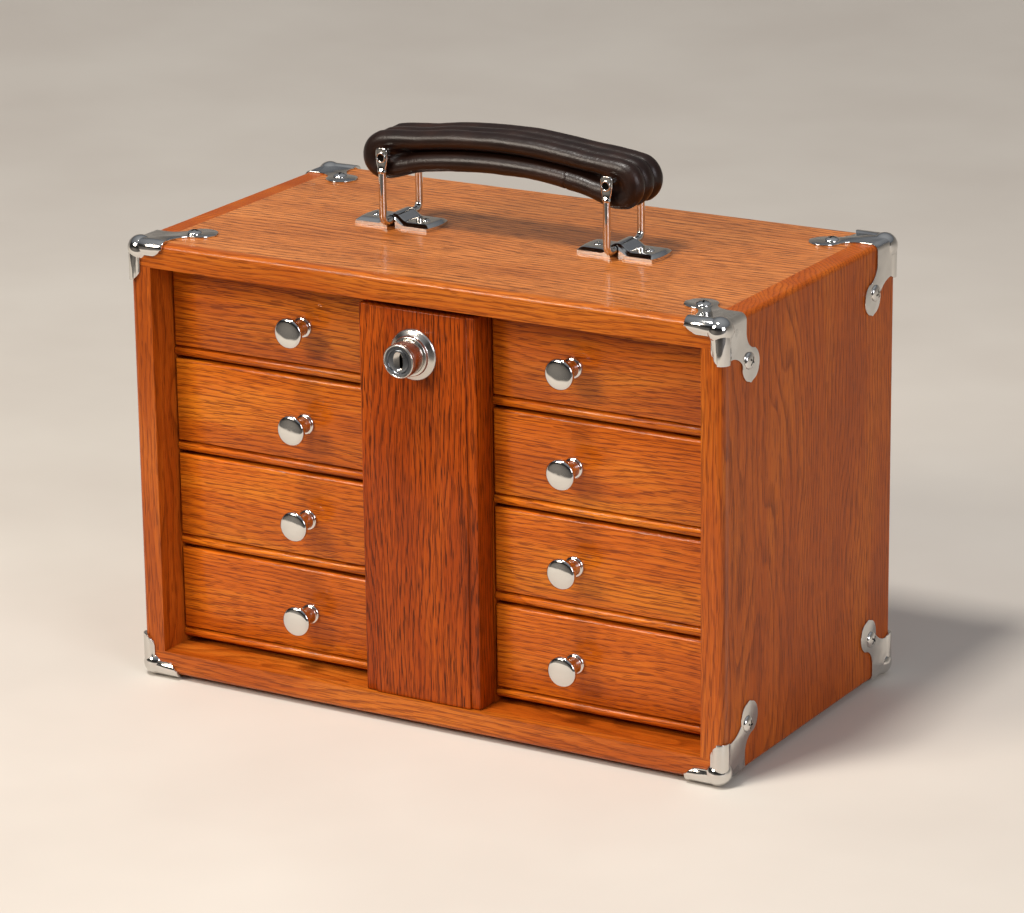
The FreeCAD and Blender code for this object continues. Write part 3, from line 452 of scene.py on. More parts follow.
def dress_case():
    """Oak on the boards of the case, each with its own place in the log."""
    # The top's tones carry painted sheen.
    paint(oak("varnished oak top", ALONG_X, (190.0, -212.0), TOP_AMBER_WITH_PAINTED_SHEEN, ring=4.2, seed=1.0,
              gloss=0.5, marks=0.85), "case_top")
    # The sides' tones carry painted shade.
    paint(oak("varnished oak left side", ALONG_Z, (70.0, -80.0), SIDE_RUSSET_WITH_PAINTED_SHADE, ring=2.6, seed=2.0,
              gloss=0.15, marks=0.7), "case_side_left")
    paint(oak("varnished oak right side", ALONG_Z, (80.0, 70.0), SIDE_RUSSET_WITH_PAINTED_SHADE, ring=2.6, seed=3.0,
              gloss=0.15, marks=0.7), "case_side_right")
    # Rails, stiles and the inside of the case wear the darkened oak: painted shade.
    paint(oak("varnished oak rails", ALONG_X, (150.0, -70.0), RAIL_AMBER_WITH_PAINTED_SHADE, seed=4.0),
          "front_rails")
    paint(oak("varnished oak stiles", ALONG_Z, (150.0, 60.0), RAIL_AMBER_WITH_PAINTED_SHADE, seed=5.0),
          "front_stiles")
    paint(oak("satin oak inside", ALONG_X, (60.0, 120.0), RAIL_AMBER_WITH_PAINTED_SHADE, ring=2.8, seed=6.0,
              gloss=0.1), "case_bottom", "case_back")
    paint(oak("satin oak partitions", ALONG_Z, (60.0, 120.0), RUSSET, ring=2.8, seed=7.0,
              gloss=0.1), "case_partitions", "centre_post")
    paint(oak("satin oak runners", ALONG_Y, (60.0, 120.0), PLAIN, ring=2.8, seed=8.0, gloss=0.1),
          "drawer_runners")
    bar = oak("varnished oak locking bar", ALONG_Z, (70.0, 44.0), RUSSET, ring=2.8, seed=9.0,
              gloss=0.2, marks=0.9)
    softened("eased_locking_bar", "locking_bar", BAR_EASING, bar, "bar", "oak_bar", 3)


def dress_drawers(bright, steel, heads):
    """Each drawer front comes from its own board; boxes are plain wood with a felt floor."""
    chance = random.Random(11)
    plain = oak("plain sanded wood", ALONG_Y, (40.0, 90.0), PLAIN, seed=12.0, gloss=0.0)
    lining = felt()
    for column in ("left", "right"):
        for row in range(1, 5):
            drawer = "drawer_%s_%d" % (column, row)
            low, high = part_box(drawer + "_front")
            side = chance.choice((-1.0, 1.0))
            level = (low[2] + high[2]) / 2.0 / MM
            heart = (chance.uniform(105.0, 130.0), side * chance.uniform(85.0, 140.0) - level)
            front = oak("varnished oak front %s %d" % (column, row), ALONG_X, heart, AMBER,
                        seed=chance.uniform(10.0, 60.0), marks=0.7)
            softened("eased_%s_front" % drawer, drawer + "_front", FRONT_EASING, front, drawer,
                     "oak_front")
            paint(plain, drawer + "_box")
            paint(lining, drawer + "_lining")
            knob(drawer, bright)
            middle = middle_of(drawer + "_knob")
            inside = Vector((middle[0], high[1], middle[2]))
            repeated(drawer + "_knob_screw", heads, [(inside, (0.0, 1.0, 0.0))],
                     {"Head Radius": KNOB_SCREW_RADIUS * MM,
                      "Head Height": KNOB_SCREW_HEIGHT * MM, "Seed": row},
                     steel, drawer, "steel")


# Radius and height of a knob, from its foot on the drawer to the middle of its face.
KNOB = ((0.0, 0.0), (0.0, 0.0), (5.9, 0.0), (5.9, 0.0), (6.0, 0.7), (5.5, 1.5), (4.6, 1.9),
        (4.3, 2.6), (3.7, 4.4), (3.4, 7.0), (3.4, 9.4), (4.2, 11.6), (6.4, 12.8), (8.1, 13.3),
        (8.6, 14.1), (8.6, 15.1), (8.15, 15.8), (6.9, 16.4), (3.6, 16.87), (0.0, 17.0))


def knob(drawer, bright):
    """Turned knob: a flared foot, a slim neck and a disc with a rolled rim and a low dome."""
    middle = middle_of(drawer + "_knob")
    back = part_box(drawer + "_knob")[1][1]
    mesh = bmesh.new()
    profile = [(max(radius, 0.0), height) for radius, height in eased_profile(KNOB, 4)]
    bridge(mesh, turned(profile))
    stand(mesh, Vector((middle[0], back, middle[2])))
    piece(drawer + "_turned_knob", mesh, [bright], drawer, "nickel", drawer + "_knob")


# The lock: radii of its turned parts, then half width, half height and roundness of the key
# pocket and of the slot in it.
BORE, BARREL, BEZEL = 6.5, 9.5, 14.4
PLUG_RADIUS, TAIL_RADIUS = 6.4, 4.2
POCKET = (3.1, 5.3, 2.2)
SLOT = (1.15, 4.2, 3.0)
SLOT_TOP = 1.6
SLOT_END = 5.6
SLOT_SHIFT = 0.9
TAIL_GAP = 0.3


def lock(satin, dark, worn):
    """Bezel with a cone and a ring, barrel with a rolled nose, and the plug with its key pocket,
    whose slot wears painted shade.
    """
    low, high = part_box("lock_barrel")
    bar_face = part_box("locking_bar")[0][1]
    centre = middle_of("lock_barrel")
    middle = Vector((centre[0], bar_face, centre[2]))
    nose = (bar_face - low[1]) / MM
    rear = (bar_face - high[1]) / MM
    outside = ((BORE, nose - 0.6), (BORE, nose - 0.6), (BORE, rear), (BORE, rear), (BARREL, rear),
               (BARREL, rear), (BARREL, 0.02), (BARREL, 0.02), (BEZEL - 0.2, 0.02),
               (BEZEL - 0.2, 0.02), (BEZEL, 0.5), (BEZEL - 0.5, 1.3), (13.0, 1.9), (11.9, 2.6),
               (11.2, 3.1), (11.2, 3.1), (11.0, 3.6), (11.0, 4.6), (10.6, 5.1), (9.8, 5.3),
               (9.8, 5.3), (BARREL, 5.8), (BARREL, nose - 2.9), (9.1, nose - 2.5),
               (9.1, nose - 2.1), (BARREL, nose - 1.7), (BARREL, nose - 0.9), (9.3, nose - 0.3),
               (8.9, nose), (8.5, nose - 0.1), (8.3, nose - 0.4), (8.3, nose - 0.4))
    ring = ((8.3, nose - 0.4), (8.3, nose - 0.4), (7.6, nose - 0.35), (6.9, nose - 0.3),
            (6.7, nose - 0.4), (BORE, nose - 0.6), (BORE, nose - 0.6))
    mesh = bmesh.new()
    for finish, line in enumerate((outside, ring)):
        bridge(mesh, turned(eased_profile(line, 3), 64), finish=finish)
    stand(mesh, middle)
    piece("lock_barrel_and_bezel", mesh, [satin, worn], "bar", "nickel", "lock_barrel")

    def shift(rings):
        """Move the key slot to the right half of the pocket."""
        return [[point + Vector((SLOT_SHIFT, 0.0, 0.0)) for point in ring] for ring in rings]

    tail = (bar_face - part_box("lock_plug")[1][1]) / MM
    face = nose - 0.4
    plug = ((0.0, tail), (TAIL_RADIUS, tail), (TAIL_RADIUS, rear + TAIL_GAP),
            (PLUG_RADIUS, rear + TAIL_GAP), (PLUG_RADIUS, face - 0.6),
            (PLUG_RADIUS - 0.15, face - 0.15), (PLUG_RADIUS - 0.6, face + 0.05))
    mesh = bmesh.new()
    bridge(mesh, [*turned(plug), loop(face + 0.1, *POCKET)])
    bridge(mesh, [loop(face + 0.1, *POCKET), loop(face - 0.05, 2.9, 5.1, 2.2), *shift((
        loop(face - 1.5, 1.5, 4.5, 2.4), loop(face - SLOT_TOP, *SLOT)))], finish=2)
    # The slot's walls and floor wear the painted shade.
    bridge(mesh, shift((loop(face - SLOT_TOP, *SLOT), loop(face - SLOT_END, 1.1, 4.0, 3.0),
                        [Vector((0.0, 0.0, face - SLOT_END))])), finish=1)
    stand(mesh, middle)
    piece("lock_plug_with_key_pocket", mesh, [worn, dark, satin], "plug", "steel", "lock_plug")


# Screws, placed on points by one tree. The recess of a head is shares of its radius and height.
RECESS_LENGTH = 1.1
RECESS_WIDTH = 0.24
RECESS_DEPTH = 0.9
HEAD_SIDES, HEAD_RINGS = 28, 18


def screw_tree():
    """Domed head with a crossed recess on every point, turned to the way that the point faces."""
    tree = bpy.data.node_groups.new("domed screw heads", "GeometryNodeTree")
    shape = tree.interface
    shape.new_socket("Geometry", in_out="INPUT", socket_type="NodeSocketGeometry")
    for label in ("Head Radius", "Head Height"):
        shape.new_socket(label, in_out="INPUT", socket_type="NodeSocketFloat")
    shape.new_socket("Seed", in_out="INPUT", socket_type="NodeSocketInt")
    shape.new_socket("Finish", in_out="INPUT", socket_type="NodeSocketMaterial")
    shape.new_socket("Geometry", in_out="OUTPUT", socket_type="NodeSocketGeometry")
    given = node(tree, "NodeGroupInput")
    radius = given.outputs["Head Radius"]
    height = given.outputs["Head Height"]

    def times(value, factor):
        """Value multiplied by a factor."""
        return node(tree, "ShaderNodeMath", {0: value, 1: factor},
                    operation="MULTIPLY").outputs["Value"]

    def vector(x, y, z):
        """Vector of three values or sockets."""
        return node(tree, "ShaderNodeCombineXYZ", {"X": x, "Y": y, "Z": z}).outputs["Vector"]

    def box(x, y, z, level):
        """Box of three sizes with its middle at a level."""
        cube = node(tree, "GeometryNodeMeshCube", {"Size": vector(x, y, z)})
        return node(tree, "GeometryNodeTransform", {
            "Geometry": cube.outputs["Mesh"],
            "Translation": vector(0.0, 0.0, level)}).outputs["Geometry"]

    ball = node(tree, "GeometryNodeMeshUVSphere", {
        "Segments": HEAD_SIDES, "Rings": HEAD_RINGS, "Radius": 1.0})
    dome = node(tree, "GeometryNodeTransform", {
        "Geometry": ball.outputs["Mesh"], "Scale": vector(radius, radius, height)})
    below = box(times(radius, 3.0), times(radius, 3.0), times(height, 3.0), times(height, -1.5))
    arm = times(radius, RECESS_LENGTH)
    slit = times(radius, RECESS_WIDTH)
    depth = times(height, RECESS_DEPTH)
    recess = [box(arm, slit, depth, height), box(slit, arm, depth, height)]
    head = node(tree, "GeometryNodeMeshBoolean", {
        "Mesh 1": dome.outputs["Geometry"], "Mesh 2": [below, *recess]}, operation="DIFFERENCE")
    facing = node(tree, "GeometryNodeInputNamedAttribute", {"Name": "facing"},
                  data_type="FLOAT_VECTOR")
    turn = node(tree, "FunctionNodeAlignRotationToVector", {
        "Vector": facing.outputs["Attribute"]}, axis="Z")
    placed = node(tree, "GeometryNodeInstanceOnPoints", {
        "Points": given.outputs["Geometry"], "Instance": head.outputs["Mesh"],
        "Rotation": turn.outputs["Rotation"]})
    spin = node(tree, "FunctionNodeRandomValue", {
        2: 0.0, 3: math.pi / 2.0, "Seed": given.outputs["Seed"]}, data_type="FLOAT")
    driven = node(tree, "GeometryNodeRotateInstances", {
        "Instances": placed.outputs["Instances"], "Rotation": vector(0.0, 0.0, spin.outputs[1])})
    real = node(tree, "GeometryNodeRealizeInstances", {"Geometry": driven.outputs["Instances"]})
    done = node(tree, "GeometryNodeSetMaterial", {
        "Geometry": real.outputs["Geometry"], "Material": given.outputs["Finish"]})
    node(tree, "NodeGroupOutput", {"Geometry": done.outputs["Geometry"]})
    return tree


def repeated(name, tree, points, sizes, finish, body, slot, *replaced):
    """Run a tree over points that face ways, and keep its result as a plain mesh on one body."""
    data = bpy.data.meshes.new(name)
    data.from_pydata([place for place, way in points], [], [])
    facing = data.attributes.new("facing", "FLOAT_VECTOR", "POINT")
    for value, (place, way) in zip(facing.data, points):
        value.vector = way
    holder = add_object(name, data)
    modifier = holder.modifiers.new("repeated", "NODES")
    modifier.node_group = tree
    for item in tree.interface.items_tree:
        if item.in_out == "INPUT" and item.name in sizes:
            modifier[item.identifier] = sizes[item.name]
        if item.in_out == "INPUT" and item.name == "Finish":
            modifier[item.identifier] = finish
    seen = bpy.context.evaluated_depsgraph_get()
    plain = bpy.data.meshes.new_from_object(holder.evaluated_get(seen), depsgraph=seen)
    bpy.data.objects.remove(holder)
    mesh = bmesh.new()
    mesh.from_mesh(plain)
    return piece(name, mesh, [finish], body, slot, *replaced)


def solid_boxes(source):
    """Boxes of the separate solids of a CAD node, in a fixed order."""
    mesh = bmesh.new()
    mesh.from_mesh(NODES[source].data)
    bmesh.ops.remove_doubles(mesh, verts=mesh.verts, dist=WELD)
    left = set(mesh.verts)
    found = []
    while left:
        stack = [left.pop()]
        solid = list(stack)
        while stack:
            for edge in stack.pop().link_edges:
                for vertex in edge.verts:
                    if vertex in left:
                        left.remove(vertex)
                        stack.append(vertex)
                        solid.append(vertex)
        low = Vector([min(vertex.co[axis] for vertex in solid) for axis in range(3)])
        high = Vector([max(vertex.co[axis] for vertex in solid) for axis in range(3)])
        found.append((low, high))
    mesh.free()
    return sorted(found, key=lambda box: tuple(round(value, 5) for value in box[0]))


# Radius, height and seed of the heads that stand for a node of screws.
HEADS = (("bracket_screws", 4.7, 2.2, 3), ("bracket_feet", 4.4, 2.0, 5),
         ("handle_plate_screws", 2.9, 1.1, 8))
# The heads on a handle plate are let into it by this much.
PLATE_HEAD_SINK = 0.1


def bracket_heads(tree, bright):
    """Domed screws in the leaves of the brackets, the feet, and small ones in the plates."""
    middle = Vector([(low + high) / 2.0 for low, high in zip(*cad_box)])
    for source, radius, height, seed in HEADS:
        on_plate = source == "handle_plate_screws"
        points = []
        for low, high in solid_boxes(source):
            span = high - low
            thin = min(range(3), key=lambda axis: span[axis])
            sign = 1.0 if on_plate or low[thin] > middle[thin] else -1.0
            way = Vector([sign if axis == thin else 0.0 for axis in range(3)])
            place = (low + high) / 2.0
            place[thin] = low[thin] if sign > 0.0 else high[thin]
            if on_plate:
                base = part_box("handle_plates")[0][2]
                place[thin] = base + (PLATE_HEIGHT - PLATE_HEAD_SINK) * MM
            points.append((place, way))
        sizes = {"Head Radius": radius * MM, "Head Height": height * MM, "Seed": seed}
        repeated("domed_" + source, tree, points, sizes, bright, "case_body", "nickel", source)


BRACKET_EASING = 0.3
CORNER_BALL_RADIUS = 7.3
# The ball's middle lies this deep under the outer faces of the bracket.
CORNER_BALL_DEPTH = 6.4


def brackets(bright):
    """The stamped corner brackets, with their cut edges eased and a full ball at each corner."""
    for level in ("lower", "upper"):
        for end in ("front", "rear"):
            source = "brackets_%s_%s" % (level, end)
            softened("eased_" + source, source, BRACKET_EASING, bright, "case_body", "nickel")
            low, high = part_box(source)
            depth = CORNER_BALL_DEPTH * MM
            y = low[1] + depth if end == "front" else high[1] - depth
            z = low[2] + depth if level == "lower" else high[2] - depth
            mesh = bmesh.new()
            for x in (low[0] + depth, high[0] - depth):
                bmesh.ops.create_icosphere(mesh, subdivisions=4, radius=CORNER_BALL_RADIUS * MM,
                                           matrix=Matrix.Translation((x, y, z)))
            piece("corner_balls_%s_%s" % (level, end), mesh, [bright], "case_body", "nickel")


# The handle. A plate has an upright edge, then a slope up to its height. Its ends are bowed.
PLATE_HALF_LENGTH = 25.0
PLATE_HALF_WIDTH = 11.4
PLATE_EDGE = 2.1
PLATE_HEIGHT = 3.9
PLATE_SLOPE = 3.6
PLATE_BOW = 1.8
PLATE_COLUMNS, PLATE_LINES = 60, 24
# The hump over the wire; a power below one makes it fuller, and it dips a little at its mouths.
HUMP_HEIGHT = 8.0
HUMP_REACH = 8.2
HUMP_FULLNESS = 0.75
MOUTH_DIP = 0.15
MOUTH_LENGTH = 2.4
# The tunnel is cut past both mouths and through the plate's foot.
TUNNEL_RADIUS = 2.6
TUNNEL_AXIS = 4.6
TUNNEL_PAST = 2.0
TUNNEL_UNDER = 1.0
TUNNEL_STEPS = 20


def cut(mesh, cutter):
    """Take one closed shape out of another."""
    parts = []
    for label, shape in (("kept", mesh), ("cutter", cutter)):
        bmesh.ops.recalc_face_normals(shape, faces=shape.faces)
        parts.append(add_object(label, mesh_data(label, shape)))
    modifier = parts[0].modifiers.new("cut", "BOOLEAN")
    modifier.operation = "DIFFERENCE"
    modifier.solver = "EXACT"
    modifier.object = parts[1]
    seen = bpy.context.evaluated_depsgraph_get()
    result = bpy.data.meshes.new_from_object(parts[0].evaluated_get(seen), depsgraph=seen)
    for part in parts:
        bpy.data.objects.remove(part)
    return result


def plate_height(x, y):
    """Height of a handle plate over the case: an upright edge, a slope, and the hump."""
    bow = PLATE_BOW * (y / PLATE_HALF_WIDTH) ** 2
    inside = min(PLATE_HALF_LENGTH - bow - abs(x), PLATE_HALF_WIDTH - abs(y))
    rise = math.sin(min(max(inside / PLATE_SLOPE, 0.0), 1.0) * math.pi / 2.0)
    reach = min(abs(x) / HUMP_REACH, 1.0)
    arch = (0.5 + 0.5 * math.cos(reach * math.pi)) ** HUMP_FULLNESS
    hump = (HUMP_HEIGHT - PLATE_HEIGHT) * arch
    inward = min((PLATE_HALF_WIDTH - abs(y)) / MOUTH_LENGTH, 1.0)
    mouth = 1.0 - MOUTH_DIP + MOUTH_DIP * math.sin(inward * math.pi / 2.0)
    return PLATE_EDGE + (PLATE_HEIGHT - PLATE_EDGE) * rise + hump * mouth


def handle_plates(bright):
    """Pillowed plates with bowed ends and a round hump, open at both mouths for the wire."""
    y_middle = middle_of("handle_plates")[1] / MM
    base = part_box("handle_plates")[0][2] / MM
    columns, lines = PLATE_COLUMNS, PLATE_LINES
    both = bmesh.new()
    for side in ("left", "right"):
        x_middle = middle_of("bail_" + side)[0] / MM
        rows = []
        for line in range(lines + 1):
            v = math.sin((2.0 * line / lines - 1.0) * math.pi / 2.0)
            row = []
            for column in range(columns + 1):
                u = 2.0 * column / columns - 1.0
                x = u * (PLATE_HALF_LENGTH - PLATE_BOW * v * v)
                y = v * PLATE_HALF_WIDTH
                row.append(Vector((x_middle + x, y_middle + y, base + plate_height(x, y))))
            rows.append(row)
        mesh = bmesh.new()
        lids = [[mesh.verts.new(point * MM) for point in row] for row in rows]
        feet = [[mesh.verts.new(Vector((point.x, point.y, base)) * MM) for point in row]
                for row in rows]
        for layer in (lids, feet):
            for first, second in zip(layer, layer[1:]):
                for place in range(columns):
                    mesh.faces.new((first[place], first[place + 1], second[place + 1],
                                    second[place]))
        rim = [(0, place) for place in range(columns)]
        rim += [(row, columns) for row in range(lines)]
        rim += [(lines, columns - place) for place in range(columns)]
        rim += [(lines - row, 0) for row in range(lines)]
        for order, (row, place) in enumerate(rim):
            row_after, place_after = rim[(order + 1) % len(rim)]
            mesh.faces.new((lids[row][place], lids[row_after][place_after],
                            feet[row_after][place_after], feet[row][place]))
        arch = [Vector((TUNNEL_RADIUS, 0.0, -TUNNEL_UNDER))]
        for step in range(TUNNEL_STEPS + 1):
            turn = math.pi * step / TUNNEL_STEPS
            arch.append(Vector((TUNNEL_RADIUS * math.cos(turn), 0.0,
                                TUNNEL_AXIS + TUNNEL_RADIUS * math.sin(turn))))
        arch.append(Vector((-TUNNEL_RADIUS, 0.0, -TUNNEL_UNDER)))
        tunnel = bmesh.new()
        reach = PLATE_HALF_WIDTH + TUNNEL_PAST
        bridge(tunnel, [[point + Vector((x_middle, y_middle + way, base)) for point in arch]
                        for way in (-reach, reach)], ends=True)
        both.from_mesh(cut(mesh, tunnel))
    piece("pillowed_handle_plates", both, [bright], "case_body", "nickel", "handle_plates")


# Wire of a bail from its lower axis up to an eyelet: height above the axis, half width along X,
# half thickness, and how square the section is.
LEG = ((4.6, 2.15, 2.15, 2.0), (18.0, 2.15, 2.15, 2.0), (28.2, 2.15, 2.15, 2.0),
       (28.9, 2.2, 2.15, 2.0), (29.3, 2.65, 2.25, 2.2), (30.1, 2.6, 2.1, 2.4),
       (30.7, 2.45, 1.7, 2.8), (31.6, 2.7, 1.3, 3.4), (33.6, 3.2, 1.1, 4.0), (36.4, 3.6, 1.1, 4.5),
       (39.0, 3.7, 1.1, 4.5), (40.8, 3.7, 1.1, 4.5), (41.8, 3.4, 1.1, 4.5), (42.4, 2.8, 1.1, 4.5),
       (42.7, 2.0, 1.0, 4.0))
CAD_WIRE_RADIUS = 2.0
WIRE_BEND = 4.6
BEND_STEPS = 9
WIRE_SIDES = 28
# The legs stand this far from the middle of the grip.
BAIL_LEGS = 19.1


def bail(side, bright):
    """U of round wire with a swage and a flattened eyelet at each end."""
    x_middle, y_middle = [value / MM for value in middle_of("bail_" + side)[:2]]
    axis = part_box("bail_" + side)[0][2] / MM + CAD_WIRE_RADIUS
    stations = []
    for height, wide, thick, power in reversed(LEG):
        stations.append((-BAIL_LEGS, height, 0.0, wide, thick, power))
    for step in range(1, BEND_STEPS):
        turn = math.pi / 2.0 * step / BEND_STEPS
        stations.append((-BAIL_LEGS + WIRE_BEND * (1.0 - math.cos(turn)),
                         WIRE_BEND * (1.0 - math.sin(turn)), turn, *LEG[0][1:]))
    stations.append((-BAIL_LEGS + WIRE_BEND, 0.0, math.pi / 2.0, *LEG[0][1:]))
    mirrored = [(-y, z, math.pi - turn, wide, thick, power)
                for y, z, turn, wide, thick, power in reversed(stations)]
    rings = []
    for y, z, turn, wide, thick, power in stations + mirrored:
        ring = []
        for point in loop(0.0, wide, thick, power, WIRE_SIDES):
            out = point.y
            ring.append(Vector((x_middle + point.x, y_middle + y + out * math.cos(turn),
                                axis + z + out * math.sin(turn))))
        rings.append(ring)
    mesh = bmesh.new()
    bridge(mesh, rings, ends=True)
    piece("swaged_bail_" + side, mesh, [bright], side + "_bail", "nickel", "bail_" + side)


RIVET_RADIUS = 1.5
RIVET_SIDES = 28
# Radius and depth under its end, point by point, of a rivet's rolled rim and of its bore.
RIVET_RIM = ((1.5, 1.0), (1.5, 1.0), (2.8, 0.8), (3.0, 0.4), (2.8, 0.05), (2.4, 0.0), (2.1, 0.2),
             (2.0, 0.6), (2.0, 0.6))
RIVET_BORE = ((2.0, 0.6), (1.8, 0.68), (0.0, 0.7))


def rivets(bright, dark):
    """Hollow rivets: a rolled rim on each eyelet, with painted shade in the bore."""
    low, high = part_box("grip_rivets")
    y_middle, level = middle_of("grip_rivets")[1:]
    reach = (high[1] - low[1]) / 2.0 / MM
    rim, bore = [[(radius, reach - depth) for radius, depth in line]
                 for line in (RIVET_RIM, RIVET_BORE)]
    rim = [(RIVET_RADIUS, 0.0)] * 2 + rim
    mesh = bmesh.new()
    for x in (low[0] + RIVET_RADIUS * MM, high[0] - RIVET_RADIUS * MM):
        for way in (1.0, -1.0):
            part = bmesh.new()
            bridge(part, turned(eased_profile(rim, 3), RIVET_SIDES))
            # The bore wears the painted shade.
            bridge(part, turned(bore, RIVET_SIDES), finish=1)
            stand(part, Vector((x, y_middle, level)), Matrix.Rotation(way * math.pi / 2.0, 4, "X"))
            mesh.from_mesh(mesh_data("rivet", part))
    piece("hollow_rivets", mesh, [bright, dark], "handle_grip", "nickel", "grip_rivets")


# The grip's middle line: its plane, the middles of its round ends and its rise between them.
GRIP_Y = 6.0
GRIP_END_X = 74.7
GRIP_END_Z = 296.0
GRIP_RISE = 8.6
GRIP_END_RADIUS = 14.0
# It is slimmer between its ends by the waist, which is reached over some length.
GRIP_WAIST = 2.1
WAIST_LENGTH = 26.0
GRIP_HALF_WIDTH = 15.6
ROLL_RADIUS = 5.6
# The side valley closes to a shallow dent round the ends.
VALLEY_DEPTH = 6.5
END_DENT = 2.2
END_ROUND = 1.6
# Places round the front roll, in degrees from its side, and the middle roll: how far each point
# lies under the outermost line and from the middle plane.
FRONT_ROLL = (-78.0, -60.0, -42.0, -24.0, -6.0, 12.0, 30.0, 48.0, 66.0, 84.0)
MIDDLE_ROLL = ((0.25, 8.6), (0.9, 7.0), (1.9, 5.9), (2.4, 5.2), (1.9, 4.5), (0.8, 3.3),
               (0.2, 1.8), (0.0, 0.0))
# Where the strap's end is sewn down, how wide its crease is and how far the strap steps there.
# The places of its lines, and the ends of the crease and of the step, are shares of that width.
SEAM_X = 43.0
SEAM_HALF_WIDTH = 0.9
SEAM_LINES = (-1.0, -0.4, 0.0, 0.4, 1.0)
CREASE_DEPTH, CREASE_END = 1.3, 0.8
STRAP_STEP, STEP_END = 0.5, 6.0
# Unevenness of the hand-rolled leather: the size of its swells and ripples, and their height.
SWELL, SWELL_HEIGHT = 19.0, 0.5
RIPPLE, RIPPLE_HEIGHT = 9.0, 0.16
# Steps round the grip: over the top, round the right end, under, round the left end.
GRIP_STEPS = (60, 22, 60, 22)


def grip_station(turn):
    """Middle point, outward direction, radius and share of valley at a place round the grip.

    The turn goes from 0 to 4: over the top, round the right end, under, round the left end.
    """
    part = int(turn) % 4
    share = turn - int(turn)
    lean = math.atan(2.0 * GRIP_RISE / GRIP_END_X)
    if part in (0, 2):
        x = (-1.0 + 2.0 * share) * GRIP_END_X * (1.0 if part == 0 else -1.0)
        lift = 1.0 - (x / GRIP_END_X) ** 2
        middle = Vector((x, 0.0, GRIP_END_Z + GRIP_RISE * lift))
        slope = -2.0 * GRIP_RISE * x / GRIP_END_X ** 2
        away = Vector((-slope, 0.0, 1.0)).normalized() * (1.0 if part == 0 else -1.0)
        inward = min(1.0, (GRIP_END_X - abs(x)) / WAIST_LENGTH)
        waist = inward * inward * (3.0 - 2.0 * inward)
        return middle, away, GRIP_END_RADIUS - GRIP_WAIST * waist, min(1.0, waist * 1.6)
    side = 1.0 if part == 1 else -1.0
    start = math.pi / 2.0 - lean if part == 1 else -math.pi / 2.0 - lean
    angle = start - (math.pi - 2.0 * lean) * share
    away = Vector((math.cos(angle), 0.0, math.sin(angle)))
    return Vector((GRIP_END_X * side, 0.0, GRIP_END_Z)), away, GRIP_END_RADIUS, 0.0


def grip_profile(radius, valley):
    """Half of the section, from the crevice out over the front roll to the middle roll.

    Each point is its distance from the middle line and its distance from the middle plane.
    """
    centre = GRIP_HALF_WIDTH - ROLL_RADIUS
    points = [(0.0, GRIP_HALF_WIDTH - END_DENT - VALLEY_DEPTH * valley)]
    for angle in map(math.radians, FRONT_ROLL):
        out = radius - ROLL_RADIUS + ROLL_RADIUS * math.sin(angle)
        side = centre + ROLL_RADIUS * math.cos(angle)
        if angle < 0.0:
            closed = GRIP_HALF_WIDTH - END_ROUND + END_ROUND * math.cos(angle)
            side = side * valley + closed * (1.0 - valley)
        points.append((max(out, 0.3), side))
    return points + [(radius - under, side) for under, side in MIDDLE_ROLL]


def leather_grip(finish):
    """Strap of leather rolled into a loop: rolls above and below a side valley, three ridges."""
    turns = []
    for part, steps in enumerate(GRIP_STEPS):
        turns += [part + step / steps for step in range(steps)]
    seam = 2.0 + (1.0 - SEAM_X / GRIP_END_X) / 2.0
    fold = SEAM_HALF_WIDTH / (2.0 * GRIP_END_X)
    turns += [seam + fold * place for place in SEAM_LINES]
    mesh = bmesh.new()
    rows = []
    for turn in sorted(turns):
        middle, away, radius, valley = grip_station(turn)
        half = grip_profile(radius, valley)
        section = [(out, -y) for out, y in half]
        section += [(out, y) for out, y in reversed(half[:-1])]
        past = (turn - seam) / fold
        crease = CREASE_DEPTH * max(0.0, 1.0 - abs(past) / CREASE_END)
        crease += STRAP_STEP * max(0.0, min(1.0, past / STEP_END))
        row = []
        for out, y in section:
            share = out / radius
            point = middle + away * (radius - crease) * share + Vector((0.0, y, 0.0))
            swell = noise.noise(Vector((point.x, y * 1.6, point.z)) / SWELL) * SWELL_HEIGHT
            ripple = noise.noise(Vector((point.x * 2.2, y, point.z)) / RIPPLE) * RIPPLE_HEIGHT
            point = point + away * (swell + ripple) * share
            row.append(point + Vector((0.0, GRIP_Y, 0.0)))
        rows.append(row)
    verts = [[mesh.verts.new(point * MM) for point in row] for row in rows]
    for first, second in zip(verts, verts[1:] + verts[:1]):
        for place in range(len(first) - 1):
            mesh.faces.new((first[place], first[place + 1], second[place + 1], second[place]))
    bmesh.ops.remove_doubles(mesh, verts=mesh.verts, dist=10.0 * WELD)
    grip = piece("leather_grip", mesh, [finish], "handle_grip", "brown_leather", "grip")
    grip.data.shade_smooth()
    smooth = grip.modifiers.new("smooth", "SUBSURF")
    smooth.levels = 1
    smooth.render_levels = 1


# The studio, in metres: a flat floor, the bend and the reach of the bowl round it, and the
# stretch in front of the chest over which the floor darkens.
FLOOR_RADIUS = 1.1
BOWL_BEND = 5.0
BOWL_RADIUS = 5.6
BOWL_STEPS = 24
BOWL_SIDES = 96
PALE_FRONT = -0.50
DARK_FRONT = -0.60
# Name, place, size, power in watts and colour of each lamp, and the point that all look at.
LAMPS = (("key_lamp", (-1.35, -2.3, 1.7), 1.0, 60.0, "#FFF3E4"),
         ("fill_lamp", (2.5, -1.4, 1.3), 1.2, 32.0, "#F6F4FA"),
         ("top_lamp", (-0.2, -0.9, 2.4), 0.4, 48.0, "#FFFBF5"))
LAMP_AIM = (0.0, 0.0, 0.12)
AIR_STRENGTH = 0.5
# The photograph's view: width and focal length in its own pixels, place in metres, turn in degrees.
PHOTO_WIDTH = 1024.0
PHOTO_FOCAL = 4325.2
FILM_WIDTH = 36.0
VIEW_PLACE = (1.17178, -1.98267, 0.85336)
VIEW_TURN = (72.580, 0.700, 30.318)
VIEW_REACH = 50.0


